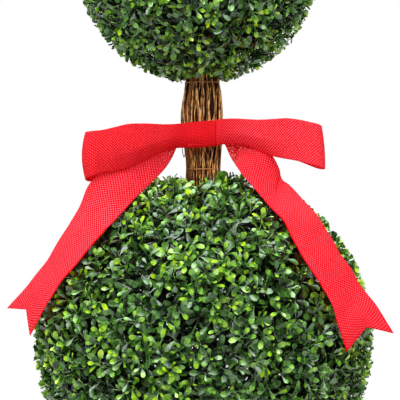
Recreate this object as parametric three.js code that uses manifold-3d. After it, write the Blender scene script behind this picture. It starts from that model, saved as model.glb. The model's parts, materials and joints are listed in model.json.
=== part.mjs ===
// Artificial double-ball boxwood topiary in a plain pot, with a ribbon bow tied to its twig stem.
// Millimetres, +Z up. The origin is the centre of the pot's flat underside, and -Y is the bow's side.

import * as THREE from 'three';
import { mergeVertices } from 'three/addons/utils/BufferGeometryUtils.js';
import Module from 'manifold-3d';

const wasm = await Module();
wasm.setup();

// General
const GAP = 0.3;
const SEED = 41;
const LEAN = THREE.MathUtils.degToRad(0.75);
const ROUND_SIDES = 32;

// Pot and its filling
const POT_HEIGHT = 185;
const POT_TOP_RADIUS = 118;
const POT_BASE_RADIUS = 86;
const POT_WALL = 7;
const POT_FLOOR = 9;
const RIM_HEIGHT = 30;
const RIM_STEP = 6;
const RIM_CHAMFER = 3;
const RIM_SHOULDER = 2;
const FILLING_EDGE = 158;
const FILLING_CROWN = 176;
const FILLING_SHOULDER_SHARE = 0.62;
const FILLING_SHOULDER_RISE = 0.7;
const FILLING_SEAT_DEPTH = 6;

// Centre pole, running from the filling up into the upper ball
const POLE_RADIUS = 8;
const POLE_SIDES = 16;
const POLE_FOOT = 30;
const POLE_TOP = 930;

// Foliage balls
const LOWER_BALL = { height: 475, reach: 190, core: 169, detail: 3, sprigs: 62 };
const UPPER_BALL = { height: 896, reach: 137, core: 119, detail: 2, sprigs: 38 };
const SEAT_DEPTH = 11;
const LEAF_WIDTH_SHARE = 0.54;
const LEAF_THICKNESS_SHARE = 0.1;
const LEAF_WIDEST_AT = 0.6;
const LEAF_SHORTEST = 0.86;
const LEAF_LONGEST = 0.99;
const LEAF_SPIN_DRIFT = 0.5;
const SPRIG_ROOT_DEPTH = 14;
const SPRIG_TIP_SHARE = 0.32;
const SPRIG_NUDGE = 0.5;
const LEAF_PAIRS = [
  { along: 0.78, lift: 0.32, spin: 0 },
  { along: 0.95, lift: 0.55, spin: Math.PI / 2 },
];
const STEM_CLEARANCE = 2;
const TWIG_ROOT_RADIUS = 2.6;
const TWIG_TIP_RADIUS = 1.2;

// Twig bundles wrapped round the pole
const TIE_RADIUS = 19;
const BUNDLE_BULGE = 4.5;
const BUNDLE_FLARE = 0.07;
const BUNDLE_SPANS = 6;
const FLUTES = 18;
const FLUTE_DEPTH = 1.8;
const FLUTE_DRIFT = 0.05;
const LOWER_TIES = [192, 300];
const UPPER_TIES = [665, 762];
const TIE_WIRE_RADIUS = 0.8;
const TIE_CLEARANCE = 0.6;
const TIE_SIDES = 20;
const TIE_FACETS = 4;

// Ribbon bow
const BOW_HEIGHT = 702;
const RIBBON_WIDTH = 51;
const RIBBON_THICKNESS = 1.4;
const RIBBON_SPANS = 4;
const RIBBON_CLEARANCE = 2.5;
const PINCH = 24;
const KNOT_TILT = THREE.MathUtils.degToRad(6);
const KNOT_LEFT = -16.7;
const KNOT_RIGHT = 14.5;
const KNOT_HALF_HEIGHT = 14;
const KNOT_CORNER = 2.6;
const KNOT_CORNER_STEPS = 3;
const KNOT_RUN_OUT = 2.5;
const NOTCH_DEPTH = 17;

const LAYER = RIBBON_THICKNESS + GAP;
const KNOT_BACK = -(bundleRadius(BOW_HEIGHT, UPPER_TIES) + TIE_CLEARANCE + 2 * TIE_WIRE_RADIUS + GAP);
const TAIL_LAYER = KNOT_BACK - LAYER - RIBBON_THICKNESS / 2;
const LOOP_BACK_LAYER = TAIL_LAYER - LAYER;
const LOOP_FRONT_LAYER = LOOP_BACK_LAYER - LAYER;
const KNOT_FRONT = LOOP_FRONT_LAYER - LAYER - RIBBON_THICKNESS / 2;

// Colours and finishes
const FINISHES = {
  clay: { color: 0xb5694a, roughness: 0.85, metalness: 0 },
  gravel: { color: 0x8d867b, roughness: 0.9, metalness: 0 },
  pole: { color: 0x6e4a2c, roughness: 0.8, metalness: 0 },
  twigs: { color: 0x8a5a2f, roughness: 0.85, metalness: 0 },
  wire: { color: 0x9a6a3c, roughness: 0.5, metalness: 0.6 },
  foliage: { color: 0x3f6b3a, roughness: 0.45, metalness: 0 },
  ribbon: { color: 0xe3142b, roughness: 0.7, metalness: 0 },
};

function bundleRadius(height, [low, high]) {
  // Narrowest at the two ties, fullest between them and slightly flared beyond them.
  if (height < low) {
    return TIE_RADIUS + (low - height) * BUNDLE_FLARE;
  }
  if (height > high) {
    return TIE_RADIUS + (height - high) * BUNDLE_FLARE;
  }
  return TIE_RADIUS + BUNDLE_BULGE * Math.sin((Math.PI * (height - low)) / (high - low));
}

function seededRandom(seed) {
  let state = seed;
  return () => {
    state = (state + 0x6d2b79f5) | 0;
    let mixed = Math.imul(state ^ (state >>> 15), 1 | state);
    mixed = (mixed + Math.imul(mixed ^ (mixed >>> 7), 61 | mixed)) ^ mixed;
    return ((mixed ^ (mixed >>> 14)) >>> 0) / 4294967296;
  };
}

// Solids from geometries and back

function toSolid(geometry) {
  const bare = geometry.clone();
  bare.deleteAttribute('normal');
  bare.deleteAttribute('uv');
  const merged = mergeVertices(bare);
  return new wasm.Manifold(new wasm.Mesh({
    numProp: 3,
    vertProperties: new Float32Array(merged.attributes.position.array),
    triVerts: new Uint32Array(merged.index.array),
  }));
}

function toGeometry(solid) {
  const mesh = solid.getMesh();
  const geometry = new THREE.BufferGeometry();
  geometry.setAttribute('position', new THREE.BufferAttribute(new Float32Array(mesh.vertProperties), 3));
  geometry.setIndex(new THREE.BufferAttribute(new Uint32Array(mesh.triVerts), 1));
  geometry.computeVertexNormals();
  return geometry;
}

function cut(geometry, ...tools) {
  const solid = tools.reduce((rest, tool) => rest.subtract(toSolid(tool)), toSolid(geometry));
  return toGeometry(solid);
}

function named(name, geometry, finish) {
  const mesh = new THREE.Mesh(geometry, new THREE.MeshStandardMaterial(FINISHES[finish]));
  mesh.name = name;
  return mesh;
}

// The side faces through rings of points that have equal counts. The caller closes both ends.
function loft(rings) {
  const count = rings[0].length;
  const positions = rings.flat().flatMap((point) => point.toArray());
  const index = [];
  for (let row = 0; row + 1 < rings.length; row += 1) {
    for (let side = 0; side < count; side += 1) {
      const here = row * count + side;
      const next = row * count + ((side + 1) % count);
      index.push(here, next, next + count, here, next + count, here + count);
    }
  }
  return { positions, index, count, last: (rings.length - 1) * count };
}

function loftGeometry(positions, index) {
  const geometry = new THREE.BufferGeometry();
  geometry.setAttribute('position', new THREE.Float32BufferAttribute(positions, 3));
  geometry.setIndex(index);
  return geometry;
}

// A round bar along +Z between two heights.
function bar(radius, low, high, sides) {
  const geometry = new THREE.CylinderGeometry(radius, radius, high - low, sides);
  geometry.rotateX(Math.PI / 2);
  geometry.translate(0, 0, (low + high) / 2);
  return geometry;
}

// A body turned about +Z from a profile of [radius, height] points.
function turned(profile, sides) {
  const points = profile.map(([radius, height]) => new THREE.Vector2(radius, height));
  const geometry = new THREE.LatheGeometry(points, sides);
  geometry.rotateX(Math.PI / 2);
  return geometry;
}

// Pot

function potRadius(height) {
  return THREE.MathUtils.lerp(POT_BASE_RADIUS, POT_TOP_RADIUS - RIM_STEP, height / POT_HEIGHT);
}

function pot() {
  const rimFoot = POT_HEIGHT - RIM_HEIGHT;
  const wall = (height) => potRadius(height) - POT_WALL;
  return turned([
    [0, 0],
    [POT_BASE_RADIUS, 0],
    [potRadius(rimFoot), rimFoot],
    [POT_TOP_RADIUS - RIM_SHOULDER, rimFoot],
    [POT_TOP_RADIUS, rimFoot + RIM_CHAMFER],
    [POT_TOP_RADIUS, POT_HEIGHT - RIM_CHAMFER],
    [POT_TOP_RADIUS - RIM_CHAMFER, POT_HEIGHT],
    [wall(POT_HEIGHT) + RIM_CHAMFER, POT_HEIGHT],
    [wall(POT_HEIGHT), POT_HEIGHT - RIM_CHAMFER],
    [wall(POT_FLOOR), POT_FLOOR],
    [0, POT_FLOOR],
  ], ROUND_SIDES);
}

function filling(poleHole, bundleSeat) {
  const low = POT_FLOOR + GAP;
  const edge = (height) => potRadius(height) - POT_WALL - GAP;
  const shoulder = FILLING_EDGE + (FILLING_CROWN - FILLING_EDGE) * FILLING_SHOULDER_RISE;
  const body = turned([
    [0, low],
    [edge(low), low],
    [edge(FILLING_EDGE), FILLING_EDGE],
    [edge(FILLING_EDGE) * FILLING_SHOULDER_SHARE, shoulder],
    [TIE_RADIUS * 2, FILLING_CROWN],
    [0, FILLING_CROWN],
  ], ROUND_SIDES);
  return cut(body, poleHole, bundleSeat);
}

// Twig bundle, a fluted barrel with a bore for the pole

function bundle(low, high, ties, seed) {
  const random = seededRandom(seed);
  const columns = 2 * FLUTES;
  const wobble = Array.from({ length: columns }, () => random() - 0.5);
  const heights = [low];
  for (let span = 0; span <= BUNDLE_SPANS; span += 1) {
    heights.push(THREE.MathUtils.lerp(...ties, span / BUNDLE_SPANS));
  }
  heights.push(high);
  const rings = heights.map((height, row) => wobble.map((drift, column) => {
    const groove = column % 2 === 0 ? 0 : FLUTE_DEPTH * (0.8 + 0.4 * Math.abs(drift));
    const slant = drift * FLUTE_DRIFT * Math.sin(row * 1.7 + column);
    const angle = (2 * Math.PI * column) / columns + slant;
    const radius = bundleRadius(height, ties) - groove;
    return new THREE.Vector3(radius * Math.cos(angle), radius * Math.sin(angle), height);
  }));
  const { positions, index, count, last } = loft(rings);
  const centre = positions.length / 3;
  positions.push(0, 0, low, 0, 0, high);
  for (let side = 0; side < count; side += 1) {
    const next = (side + 1) % count;
    index.push(centre, next, side, centre + 1, last + side, last + next);
  }
  return cut(loftGeometry(positions, index), bar(POLE_RADIUS + GAP, low - 1, high + 1, POLE_SIDES));
}

// A wire ring drawn tight round a bundle

function tieRing(height, ties) {
  const centre = bundleRadius(height, ties) + TIE_CLEARANCE + TIE_WIRE_RADIUS;
  const profile = [];
  for (let facet = 0; facet <= TIE_FACETS; facet += 1) {
    const angle = (2 * Math.PI * (facet % TIE_FACETS)) / TIE_FACETS;
    profile.push([
      centre + TIE_WIRE_RADIUS * Math.cos(angle),
      height + TIE_WIRE_RADIUS * Math.sin(angle),
    ]);
  }
  return turned(profile, TIE_SIDES);
}

// Foliage

function leafTemplate() {
  // Six corners and eight faces, from the stalk at the origin to the tip at +X.
  const geometry = new THREE.OctahedronGeometry(1);
  const position = geometry.attributes.position;
  for (let corner = 0; corner < position.count; corner += 1) {
    const x = position.getX(corner);
    const along = Math.abs(x) < 0.5 ? LEAF_WIDEST_AT : (x + 1) / 2;
    position.setXYZ(
      corner,
      along,
      (position.getY(corner) * LEAF_WIDTH_SHARE) / 2,
      (position.getZ(corner) * LEAF_THICKNESS_SHARE) / 2,
    );
  }
  return geometry;
}

function leafAt(root, direction, sideways, length) {
  const across = sideways.clone().addScaledVector(direction, -sideways.dot(direction)).normalize();
  const upright = new THREE.Vector3().crossVectors(direction, across);
  const matrix = new THREE.Matrix4().makeBasis(direction, across, upright);
  matrix.scale(new THREE.Vector3(length, length, length)).setPosition(root);
  return LEAF.clone().applyMatrix4(matrix);
}

function twigBetween(root, tip) {
  const length = root.distanceTo(tip);
  const geometry = new THREE.CylinderGeometry(TWIG_TIP_RADIUS, TWIG_ROOT_RADIUS, length, 3);
  const up = new THREE.Vector3(0, 1, 0);
  const turn = new THREE.Quaternion().setFromUnitVectors(up, tip.clone().sub(root).normalize());
  geometry.applyQuaternion(turn);
  return geometry.translate(...root.clone().lerp(tip, 0.5).toArray());
}

// How far a leaf runs from its base before its tip is as far out as the ball reaches.
function lengthToReach(base, direction, reach) {
  const along = base.dot(direction);
  return Math.sqrt(reach * reach - base.lengthSq() + along * along) - along;
}

// Directions spread evenly over a ball, each nudged a little.
function spreadDirections(count, random) {
  const golden = Math.PI * (3 - Math.sqrt(5));
  const nudge = SPRIG_NUDGE / Math.sqrt(count);
  return Array.from({ length: count }, (unused, turn) => {
    const height = 1 - (2 * turn + 1) / count;
    const flat = Math.sqrt(1 - height * height);
    const direction = new THREE.Vector3(
      flat * Math.cos(turn * golden),
      flat * Math.sin(turn * golden),
      height,
    );
    direction.x += (random() - 0.5) * nudge;
    direction.y += (random() - 0.5) * nudge;
    direction.z += (random() - 0.5) * nudge;
    return direction.normalize();
  });
}

// One clipped ball about its own centre: a core, and sprigs of leaves that stand out of it.
function foliageBall(ball, seats, keepClear, seed) {
  const random = seededRandom(seed);
  const depth = ball.reach - ball.core;
  const bundleClear = TIE_RADIUS + BUNDLE_BULGE + STEM_CLEARANCE;
  const fits = (geometry) => {
    const position = geometry.attributes.position;
    for (let corner = 0; corner < position.count; corner += 1) {
      const point = new THREE.Vector3().fromBufferAttribute(position, corner);
      if (point.length() > ball.reach || Math.hypot(point.x, point.y) < bundleClear) {
        return false;
      }
    }
    const solid = toSolid(geometry);
    return keepClear.every((zone) => solid.intersect(zone).isEmpty());
  };
  const pieces = [toSolid(new THREE.IcosahedronGeometry(ball.core, ball.detail))];
  for (const outward of spreadDirections(ball.sprigs, random)) {
    const root = outward.clone().multiplyScalar(ball.core - SPRIG_ROOT_DEPTH);
    const tip = outward.clone().multiplyScalar(ball.core + depth * SPRIG_TIP_SHARE);
    const twig = twigBetween(root, tip);
    if (!fits(twig)) {
      continue;
    }
    pieces.push(toSolid(twig));
    const side = new THREE.Vector3(random() - 0.5, random() - 0.5, random() - 0.5);
    side.cross(outward).normalize();
    for (const pair of LEAF_PAIRS) {
      const base = root.clone().lerp(tip, pair.along);
      for (let turn = 0; turn < 2; turn += 1) {
        const angle = pair.spin + turn * Math.PI + (random() - 0.5) * LEAF_SPIN_DRIFT;
        const spread = side.clone().applyAxisAngle(outward, angle);
        const direction = outward.clone().multiplyScalar(pair.lift).add(spread).normalize();
        const across = new THREE.Vector3().crossVectors(outward, spread);
        const share = THREE.MathUtils.lerp(LEAF_SHORTEST, LEAF_LONGEST, random());
        const length = share * lengthToReach(base, direction, ball.reach);
        const leaf = leafAt(base, direction, across, length);
        if (fits(leaf)) {
          pieces.push(toSolid(leaf));
        }
      }
    }
  }
  const fused = wasm.Manifold.union(pieces);
  return toGeometry(seats.reduce((rest, seat) => rest.subtract(toSolid(seat)), fused));
}

// Ribbon

// Stations say where the ribbon's middle is, which way its width runs, how wide it is gathered
// there, and how far its middle bows to the side.
function ribbonRings(stations, steps, thickness, notch) {
  const spots = stations.map((station) => new THREE.Vector3(...station.at));
  const widths = stations.map((station) => (
    new THREE.Vector3(...station.across).normalize().multiplyScalar(station.width)
  ));
  const middle = new THREE.CatmullRomCurve3(spots, false, 'centripetal');
  const across = new THREE.CatmullRomCurve3(widths, false, 'centripetal');
  const rings = [];
  for (let step = 0; step <= steps; step += 1) {
    const place = step / steps;
    const point = middle.getPoint(place);
    const tangent = middle.getTangent(place);
    const width = across.getPoint(place);
    const face = new THREE.Vector3().crossVectors(tangent, width).normalize();
    const station = place * (stations.length - 1);
    const before = stations[Math.floor(station)];
    const after = stations[Math.ceil(station)];
    const camber = THREE.MathUtils.lerp(before.camber, after.camber, station - Math.floor(station));
    const front = [];
    const back = [];
    for (let span = 0; span <= RIBBON_SPANS; span += 1) {
      const share = (2 * span) / RIBBON_SPANS - 1;
      const setBack = step === steps ? notch * (1 - Math.abs(share)) : 0;
      const spot = point.clone().addScaledVector(width, share / 2).addScaledVector(tangent, -setBack);
      spot.addScaledVector(face, camber * (1 - share * share));
      front.push(spot.clone().addScaledVector(face, thickness / 2));
      back.unshift(spot.clone().addScaledVector(face, -thickness / 2));
    }
    rings.push([...front, ...back]);
  }
  return rings;
}

function ribbon(stations, steps, { thickness = RIBBON_THICKNESS, notch = 0 } = {}) {
  const { positions, index, count, last } = loft(ribbonRings(stations, steps, thickness, notch));
  for (let span = 0; span < RIBBON_SPANS; span += 1) {
    const far = count - 1 - span;
    index.push(span + 1, span, far, span + 1, far, far - 1);
    index.push(last + span, last + span + 1, last + far, last + span + 1, last + far - 1, last + far);
  }
  const geometry = loftGeometry(positions, index);
  if (toSolid(geometry).volume() < 0) {
    geometry.setIndex(index.reverse());
  }
  return geometry;
}

const knotLine = (x) => x * Math.tan(KNOT_TILT);
const DOWN = [0, 0, -1];

// A loop's station from the heights of the ribbon's two edges.
function loopStation(x, y, top, bottom, camber = 0) {
  return { at: [x, y, (top + bottom) / 2], across: DOWN, width: top - bottom, camber };
}

// The straight, gathered run of one layer from the middle of the knot to just past its end.
function knotRun(layer, end) {
  const side = Math.sign(end);
  const places = [(side * GAP) / 2, end / 2, end, end + KNOT_RUN_OUT * side];
  return places.map((x) => loopStation(x, layer, knotLine(x) + PINCH / 2, knotLine(x) - PINCH / 2));
}

const LEFT_LOOP = [
  ...knotRun(LOOP_FRONT_LAYER, KNOT_LEFT),
  loopStation(-41, -44, 9.4, -22.3, 1),
  loopStation(-63, -57, 10.3, -32.3, 2),
  loopStation(-84, -67, 8, -39.6, 3),
  loopStation(-107, -75, 2.8, -43.5, 2),
  loopStation(-125, -77, 0.7, -50.2, 0),
  loopStation(-131, -70, 0, -50.5, 0),
  loopStation(-125, -63, 0.5, -50.7, 0),
  loopStation(-105, -58, 3, -46, 0),
  loopStation(-80, -50, 7, -40, 0),
  loopStation(-50, -39, 8.5, -29, 0),
  ...knotRun(LOOP_BACK_LAYER, KNOT_LEFT).reverse(),
];

const RIGHT_LOOP = [
  ...knotRun(LOOP_FRONT_LAYER, KNOT_RIGHT),
  loopStation(41, -45, 15.9, -11.9, 1),
  loopStation(60, -55, 14.7, -19.8, 2),
  loopStation(80, -65, 15.6, -26.1, 3),
  loopStation(103, -73, 13.1, -31.6, 2),
  loopStation(127, -76, 7.5, -37, 0),
  loopStation(133, -69, 7, -38.5, 0),
  loopStation(127, -62, 7.2, -39, 0),
  loopStation(103, -56, 12, -33, 0),
  loopStation(78, -48, 14, -26, 0),
  loopStation(50, -38, 14, -17, 0),
  ...knotRun(LOOP_BACK_LAYER, KNOT_RIGHT).reverse(),
];

const LEFT_TAIL = [
  ...knotRun(TAIL_LAYER, KNOT_LEFT),
  { at: [-40, -30, -14], across: [0.4, -0.1, -0.9], width: 36, camber: 0 },
  { at: [-68, -36, -32], across: [0.8, -0.25, -0.45], width: 48, camber: 0 },
  { at: [-100, -62, -65], across: [0.8, -0.31, -0.51], width: RIBBON_WIDTH, camber: 1 },
  { at: [-119, -82, -93], across: [0.65, -0.63, -0.42], width: RIBBON_WIDTH, camber: 2 },
  { at: [-143, -88, -126], across: [0.53, -0.78, -0.3], width: RIBBON_WIDTH, camber: 2 },
  { at: [-174, -78, -167], across: [0.53, -0.78, -0.32], width: RIBBON_WIDTH, camber: 2 },
  { at: [-203, -60, -206], across: [0.62, -0.56, -0.54], width: RIBBON_WIDTH, camber: 0 },
];

const RIGHT_TAIL = [
  ...knotRun(TAIL_LAYER, KNOT_RIGHT),
  { at: [34, -30, -13], across: [-0.45, -0.15, -0.85], width: 34, camber: 0 },
  { at: [57, -40, -30], across: [-0.68, -0.5, -0.53], width: 49, camber: 1 },
  { at: [81, -72, -66], across: [-0.47, -0.77, -0.43], width: RIBBON_WIDTH, camber: 2 },
  { at: [100, -90, -88], across: [-0.57, -0.74, -0.34], width: RIBBON_WIDTH, camber: 2 },
  { at: [121, -111, -122], across: [-0.66, -0.67, -0.33], width: RIBBON_WIDTH, camber: 2 },
  { at: [147, -119, -161], across: [-0.65, -0.67, -0.36], width: RIBBON_WIDTH, camber: 1 },
  { at: [160, -124, -190], across: [-0.84, -0.4, -0.36], width: RIBBON_WIDTH, camber: 0 },
  { at: [173, -126, -220], across: [-0.92, -0.1, -0.4], width: RIBBON_WIDTH, camber: 0 },
];

const LOOP_STEPS = 34;
const TAIL_STEPS = 22;

// The centre wrap: a flat band round all the gathered layers.
function knot() {
  const outline = roundedBox(new THREE.Shape(), KNOT_FRONT, KNOT_BACK, KNOT_HALF_HEIGHT, KNOT_CORNER);
  outline.holes.push(roundedBox(
    new THREE.Path(),
    KNOT_FRONT + RIBBON_THICKNESS,
    KNOT_BACK - RIBBON_THICKNESS,
    KNOT_HALF_HEIGHT - RIBBON_THICKNESS,
    KNOT_CORNER - RIBBON_THICKNESS,
  ));
  const length = KNOT_RIGHT - KNOT_LEFT;
  const geometry = new THREE.ExtrudeGeometry(outline, {
    depth: length,
    bevelEnabled: false,
    curveSegments: KNOT_CORNER_STEPS,
  });
  const basis = new THREE.Matrix4().makeBasis(
    new THREE.Vector3(0, 1, 0),
    new THREE.Vector3(0, 0, 1),
    new THREE.Vector3(1, 0, 0),
  );
  geometry.applyMatrix4(basis);
  geometry.translate(KNOT_LEFT, 0, 0);
  return geometry.rotateY(-KNOT_TILT);
}

// A box outline with round corners, from front to back and from -half to +half in height.
function roundedBox(path, front, back, half, corner) {
  path.moveTo(front + corner, -half);
  path.lineTo(back - corner, -half);
  path.absarc(back - corner, -half + corner, corner, -Math.PI / 2, 0, false);
  path.lineTo(back, half - corner);
  path.absarc(back - corner, half - corner, corner, 0, Math.PI / 2, false);
  path.lineTo(front + corner, half);
  path.absarc(front + corner, half - corner, corner, Math.PI / 2, Math.PI, false);
  path.lineTo(front, -half + corner);
  path.absarc(front + corner, -half + corner, corner, Math.PI, 1.5 * Math.PI, false);
  return path;
}

// Assembly

const LEAF = leafTemplate();
const leanTurn = new THREE.Matrix4().makeRotationY(-LEAN);
const bowInTree = new THREE.Matrix4().makeTranslation(0, 0, BOW_HEIGHT)
  .multiply(new THREE.Matrix4().makeRotationY(LEAN));

// Heights at which the twig bundles meet the filling and the two balls
const seatHeights = {
  filling: FILLING_CROWN - FILLING_SEAT_DEPTH,
  under: LOWER_BALL.height - LOWER_BALL.core + SEAT_DEPTH,
  over: LOWER_BALL.height + LOWER_BALL.core - SEAT_DEPTH,
  top: UPPER_BALL.height - UPPER_BALL.core + SEAT_DEPTH,
};

const poleHole = bar(POLE_RADIUS + GAP, POLE_FOOT - GAP, POLE_TOP + GAP, POLE_SIDES);

// The round seat that a bundle's end takes, from its own height out to past the surface.
function bundleSeat(seat, ties, past) {
  const radius = bundleRadius(seat, ties) + 2 * GAP;
  return bar(radius, Math.min(seat, past), Math.max(seat, past), ROUND_SIDES);
}

// The tail's own space with a little clearance, as seen from a ball's centre.
function tailZone(stations, ball) {
  const zone = ribbon(stations, TAIL_STEPS, { thickness: RIBBON_THICKNESS + 2 * RIBBON_CLEARANCE });
  zone.applyMatrix4(bowInTree);
  zone.translate(0, 0, -ball.height);
  return toSolid(zone);
}

function lowerBall() {
  const seats = [
    poleHole.clone(),
    bundleSeat(seatHeights.under, LOWER_TIES, LOWER_BALL.height - LOWER_BALL.reach),
    bundleSeat(seatHeights.over, UPPER_TIES, LOWER_BALL.height + LOWER_BALL.reach),
  ];
  seats.forEach((seat) => seat.translate(0, 0, -LOWER_BALL.height));
  const zones = [tailZone(LEFT_TAIL, LOWER_BALL), tailZone(RIGHT_TAIL, LOWER_BALL)];
  return foliageBall(LOWER_BALL, seats, zones, SEED);
}

function upperBall() {
  const seats = [
    poleHole.clone(),
    bundleSeat(seatHeights.top, UPPER_TIES, UPPER_BALL.height - UPPER_BALL.reach),
  ];
  seats.forEach((seat) => seat.translate(0, 0, -UPPER_BALL.height));
  return foliageBall(UPPER_BALL, seats, [], SEED + 1);
}

function atHeight(height, mesh) {
  const group = new THREE.Group();
  group.position.z = height;
  group.add(mesh);
  return group;
}

const fillingSeat = bundleSeat(seatHeights.filling, LOWER_TIES, POT_HEIGHT);
const fillingGeometry = filling(
  poleHole.clone().applyMatrix4(leanTurn),
  fillingSeat.applyMatrix4(leanTurn),
);
const lowerBundle = bundle(seatHeights.filling + GAP, seatHeights.under - GAP, LOWER_TIES, SEED + 2);
const upperBundle = bundle(seatHeights.over + GAP, seatHeights.top - GAP, UPPER_TIES, SEED + 3);

const bow = new THREE.Group();
bow.position.z = BOW_HEIGHT;
bow.rotation.y = LEAN;
bow.add(
  named('bow_left_loop', ribbon(LEFT_LOOP, LOOP_STEPS), 'ribbon'),
  named('bow_right_loop', ribbon(RIGHT_LOOP, LOOP_STEPS), 'ribbon'),
  named('bow_left_tail', ribbon(LEFT_TAIL, TAIL_STEPS, { notch: NOTCH_DEPTH }), 'ribbon'),
  named('bow_right_tail', ribbon(RIGHT_TAIL, TAIL_STEPS, { notch: NOTCH_DEPTH }), 'ribbon'),
  named('bow_knot', knot(), 'ribbon'),
);

const tree = new THREE.Group();
tree.rotation.y = -LEAN;
tree.add(
  named('center_pole', bar(POLE_RADIUS, POLE_FOOT, POLE_TOP, POLE_SIDES), 'pole'),
  named('lower_stem_bundle', lowerBundle, 'twigs'),
  named('upper_stem_bundle', upperBundle, 'twigs'),
  named('lower_bundle_tie_low', tieRing(LOWER_TIES[0], LOWER_TIES), 'wire'),
  named('lower_bundle_tie_high', tieRing(LOWER_TIES[1], LOWER_TIES), 'wire'),
  named('upper_bundle_tie_low', tieRing(UPPER_TIES[0], UPPER_TIES), 'wire'),
  named('upper_bundle_tie_high', tieRing(UPPER_TIES[1], UPPER_TIES), 'wire'),
  named('bow_tie_wire', tieRing(BOW_HEIGHT, UPPER_TIES), 'wire'),
  atHeight(LOWER_BALL.height, named('lower_ball', lowerBall(), 'foliage')),
  atHeight(UPPER_BALL.height, named('upper_ball', upperBall(), 'foliage')),
  bow,
);

const topiary = new THREE.Group();
topiary.add(
  named('pot', pot(), 'clay'),
  named('pot_filling', fillingGeometry, 'gravel'),
  tree,
);

export default topiary;
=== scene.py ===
"""Looks of an artificial double-ball boxwood topiary in a clay pot, with a ribbon bow on its stem.

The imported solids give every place, in metres. Each sub-assembly is a class that holds its own
sizes and makes the finer pieces that stand for those solids: moulded leaves on their sprigs,
bundled twigs, binding wire, a woven ribbon bow, and a clay pot with its pebbles.
"""

from __future__ import annotations

import json
import logging
import math
from collections.abc import Sequence
from dataclasses import dataclass, field, replace
from enum import Enum, IntEnum
from functools import cache
from itertools import product

import bpy
import numpy as np
from bpy.types import ID, Collection, Material, Mesh, Node, NodeTree, Object
from bpy.types import NodeSocket as Socket
from mathutils import Matrix, Vector
from mathutils.bvhtree import BVHTree

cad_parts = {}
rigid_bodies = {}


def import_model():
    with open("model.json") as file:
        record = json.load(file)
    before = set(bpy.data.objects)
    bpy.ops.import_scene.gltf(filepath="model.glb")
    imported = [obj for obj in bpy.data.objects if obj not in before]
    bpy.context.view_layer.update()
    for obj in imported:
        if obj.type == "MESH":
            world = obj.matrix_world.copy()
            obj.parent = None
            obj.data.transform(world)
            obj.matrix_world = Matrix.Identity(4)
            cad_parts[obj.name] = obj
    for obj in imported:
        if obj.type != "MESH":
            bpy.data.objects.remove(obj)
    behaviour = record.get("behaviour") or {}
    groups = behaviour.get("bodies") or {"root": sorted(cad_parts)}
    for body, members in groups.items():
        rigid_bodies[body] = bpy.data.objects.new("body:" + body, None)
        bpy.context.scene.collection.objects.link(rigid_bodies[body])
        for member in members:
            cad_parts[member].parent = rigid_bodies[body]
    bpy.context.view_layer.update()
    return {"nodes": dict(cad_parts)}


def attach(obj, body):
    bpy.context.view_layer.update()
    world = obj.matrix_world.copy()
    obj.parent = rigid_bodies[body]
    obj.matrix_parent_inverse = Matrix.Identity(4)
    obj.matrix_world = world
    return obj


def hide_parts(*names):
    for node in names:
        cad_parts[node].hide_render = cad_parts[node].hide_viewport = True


LOG = logging.getLogger("topiary")

MM = 0.001
BODY = "root"
LOWER_BUNDLE_TOP = 319 * MM
UPPER_BUNDLE_FOOT = 631 * MM
UPPER_BUNDLE_TOP = 791 * MM
POLE_TOP = 932 * MM
BOW_HEIGHT = 702 * MM
LEAN = math.radians(0.75)
TREE_TURN = Matrix.Rotation(-LEAN, 4, "Y")
GOLDEN_ANGLE = math.pi * (3 - math.sqrt(5))
WEAVE = "weave"

Colour = tuple[float, float, float]
Place = tuple[float, float, float]
Face = tuple[int, ...]
Profile = list[tuple[float, float]]
Inputs = dict[str, object]
Array = np.ndarray


class Slot(str, Enum):
    """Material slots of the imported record."""

    CLAY = "clay"
    GRAVEL = "gravel"
    POLE = "pole_wood"
    TWIGS = "twig_wood"
    WIRE = "wire"
    FOLIAGE = "foliage"
    RIBBON = "ribbon"


def srgb(red: float, green: float, blue: float) -> Colour:
    """Turn a colour of 0 to 255 screen values into linear light.

    Args:
        red: Red value from 0 to 255.
        green: Green value from 0 to 255.
        blue: Blue value from 0 to 255.

    Returns:
        The three linear values from 0 to 1.
    """
    def linear(value: float) -> float:
        """Return one channel in linear light."""
        share = value / 255
        return share / 12.92 if share <= 0.04045 else ((share + 0.055) / 1.055) ** 2.4

    return linear(red), linear(green), linear(blue)


def scaled(colour: Colour, factor: float) -> Colour:
    """Return the colour made lighter or darker by a factor, kept within 1."""
    return tuple(min(1.0, channel * factor) for channel in colour)


def unit(vectors: Array) -> Array:
    """Return the vectors at length one, along the last axis."""
    return vectors / np.maximum(np.linalg.norm(vectors, axis=-1, keepdims=True), 1e-12)


def polar(radius: object, angle: Array, height: object) -> Array:
    """Return the points at a radius, angle and height about the Z axis."""
    rise = np.broadcast_to(height, angle.shape)
    return np.stack([radius * np.cos(angle), radius * np.sin(angle), rise], 1)


def run_length(points: Array) -> Array:
    """Return how far along its line each point lies, from 0 at the first."""
    return np.concatenate([[0], np.cumsum(np.linalg.norm(np.diff(points, axis=0), axis=1))])


def turned_tree(points: Array, height: float = 0.0) -> Array:
    """Return points, given from a height on the tree's axis, as they stand on the leaning tree."""
    lifted = points + np.array([0.0, 0.0, height])
    return lifted @ np.array(TREE_TURN.to_3x3()).T


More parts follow.
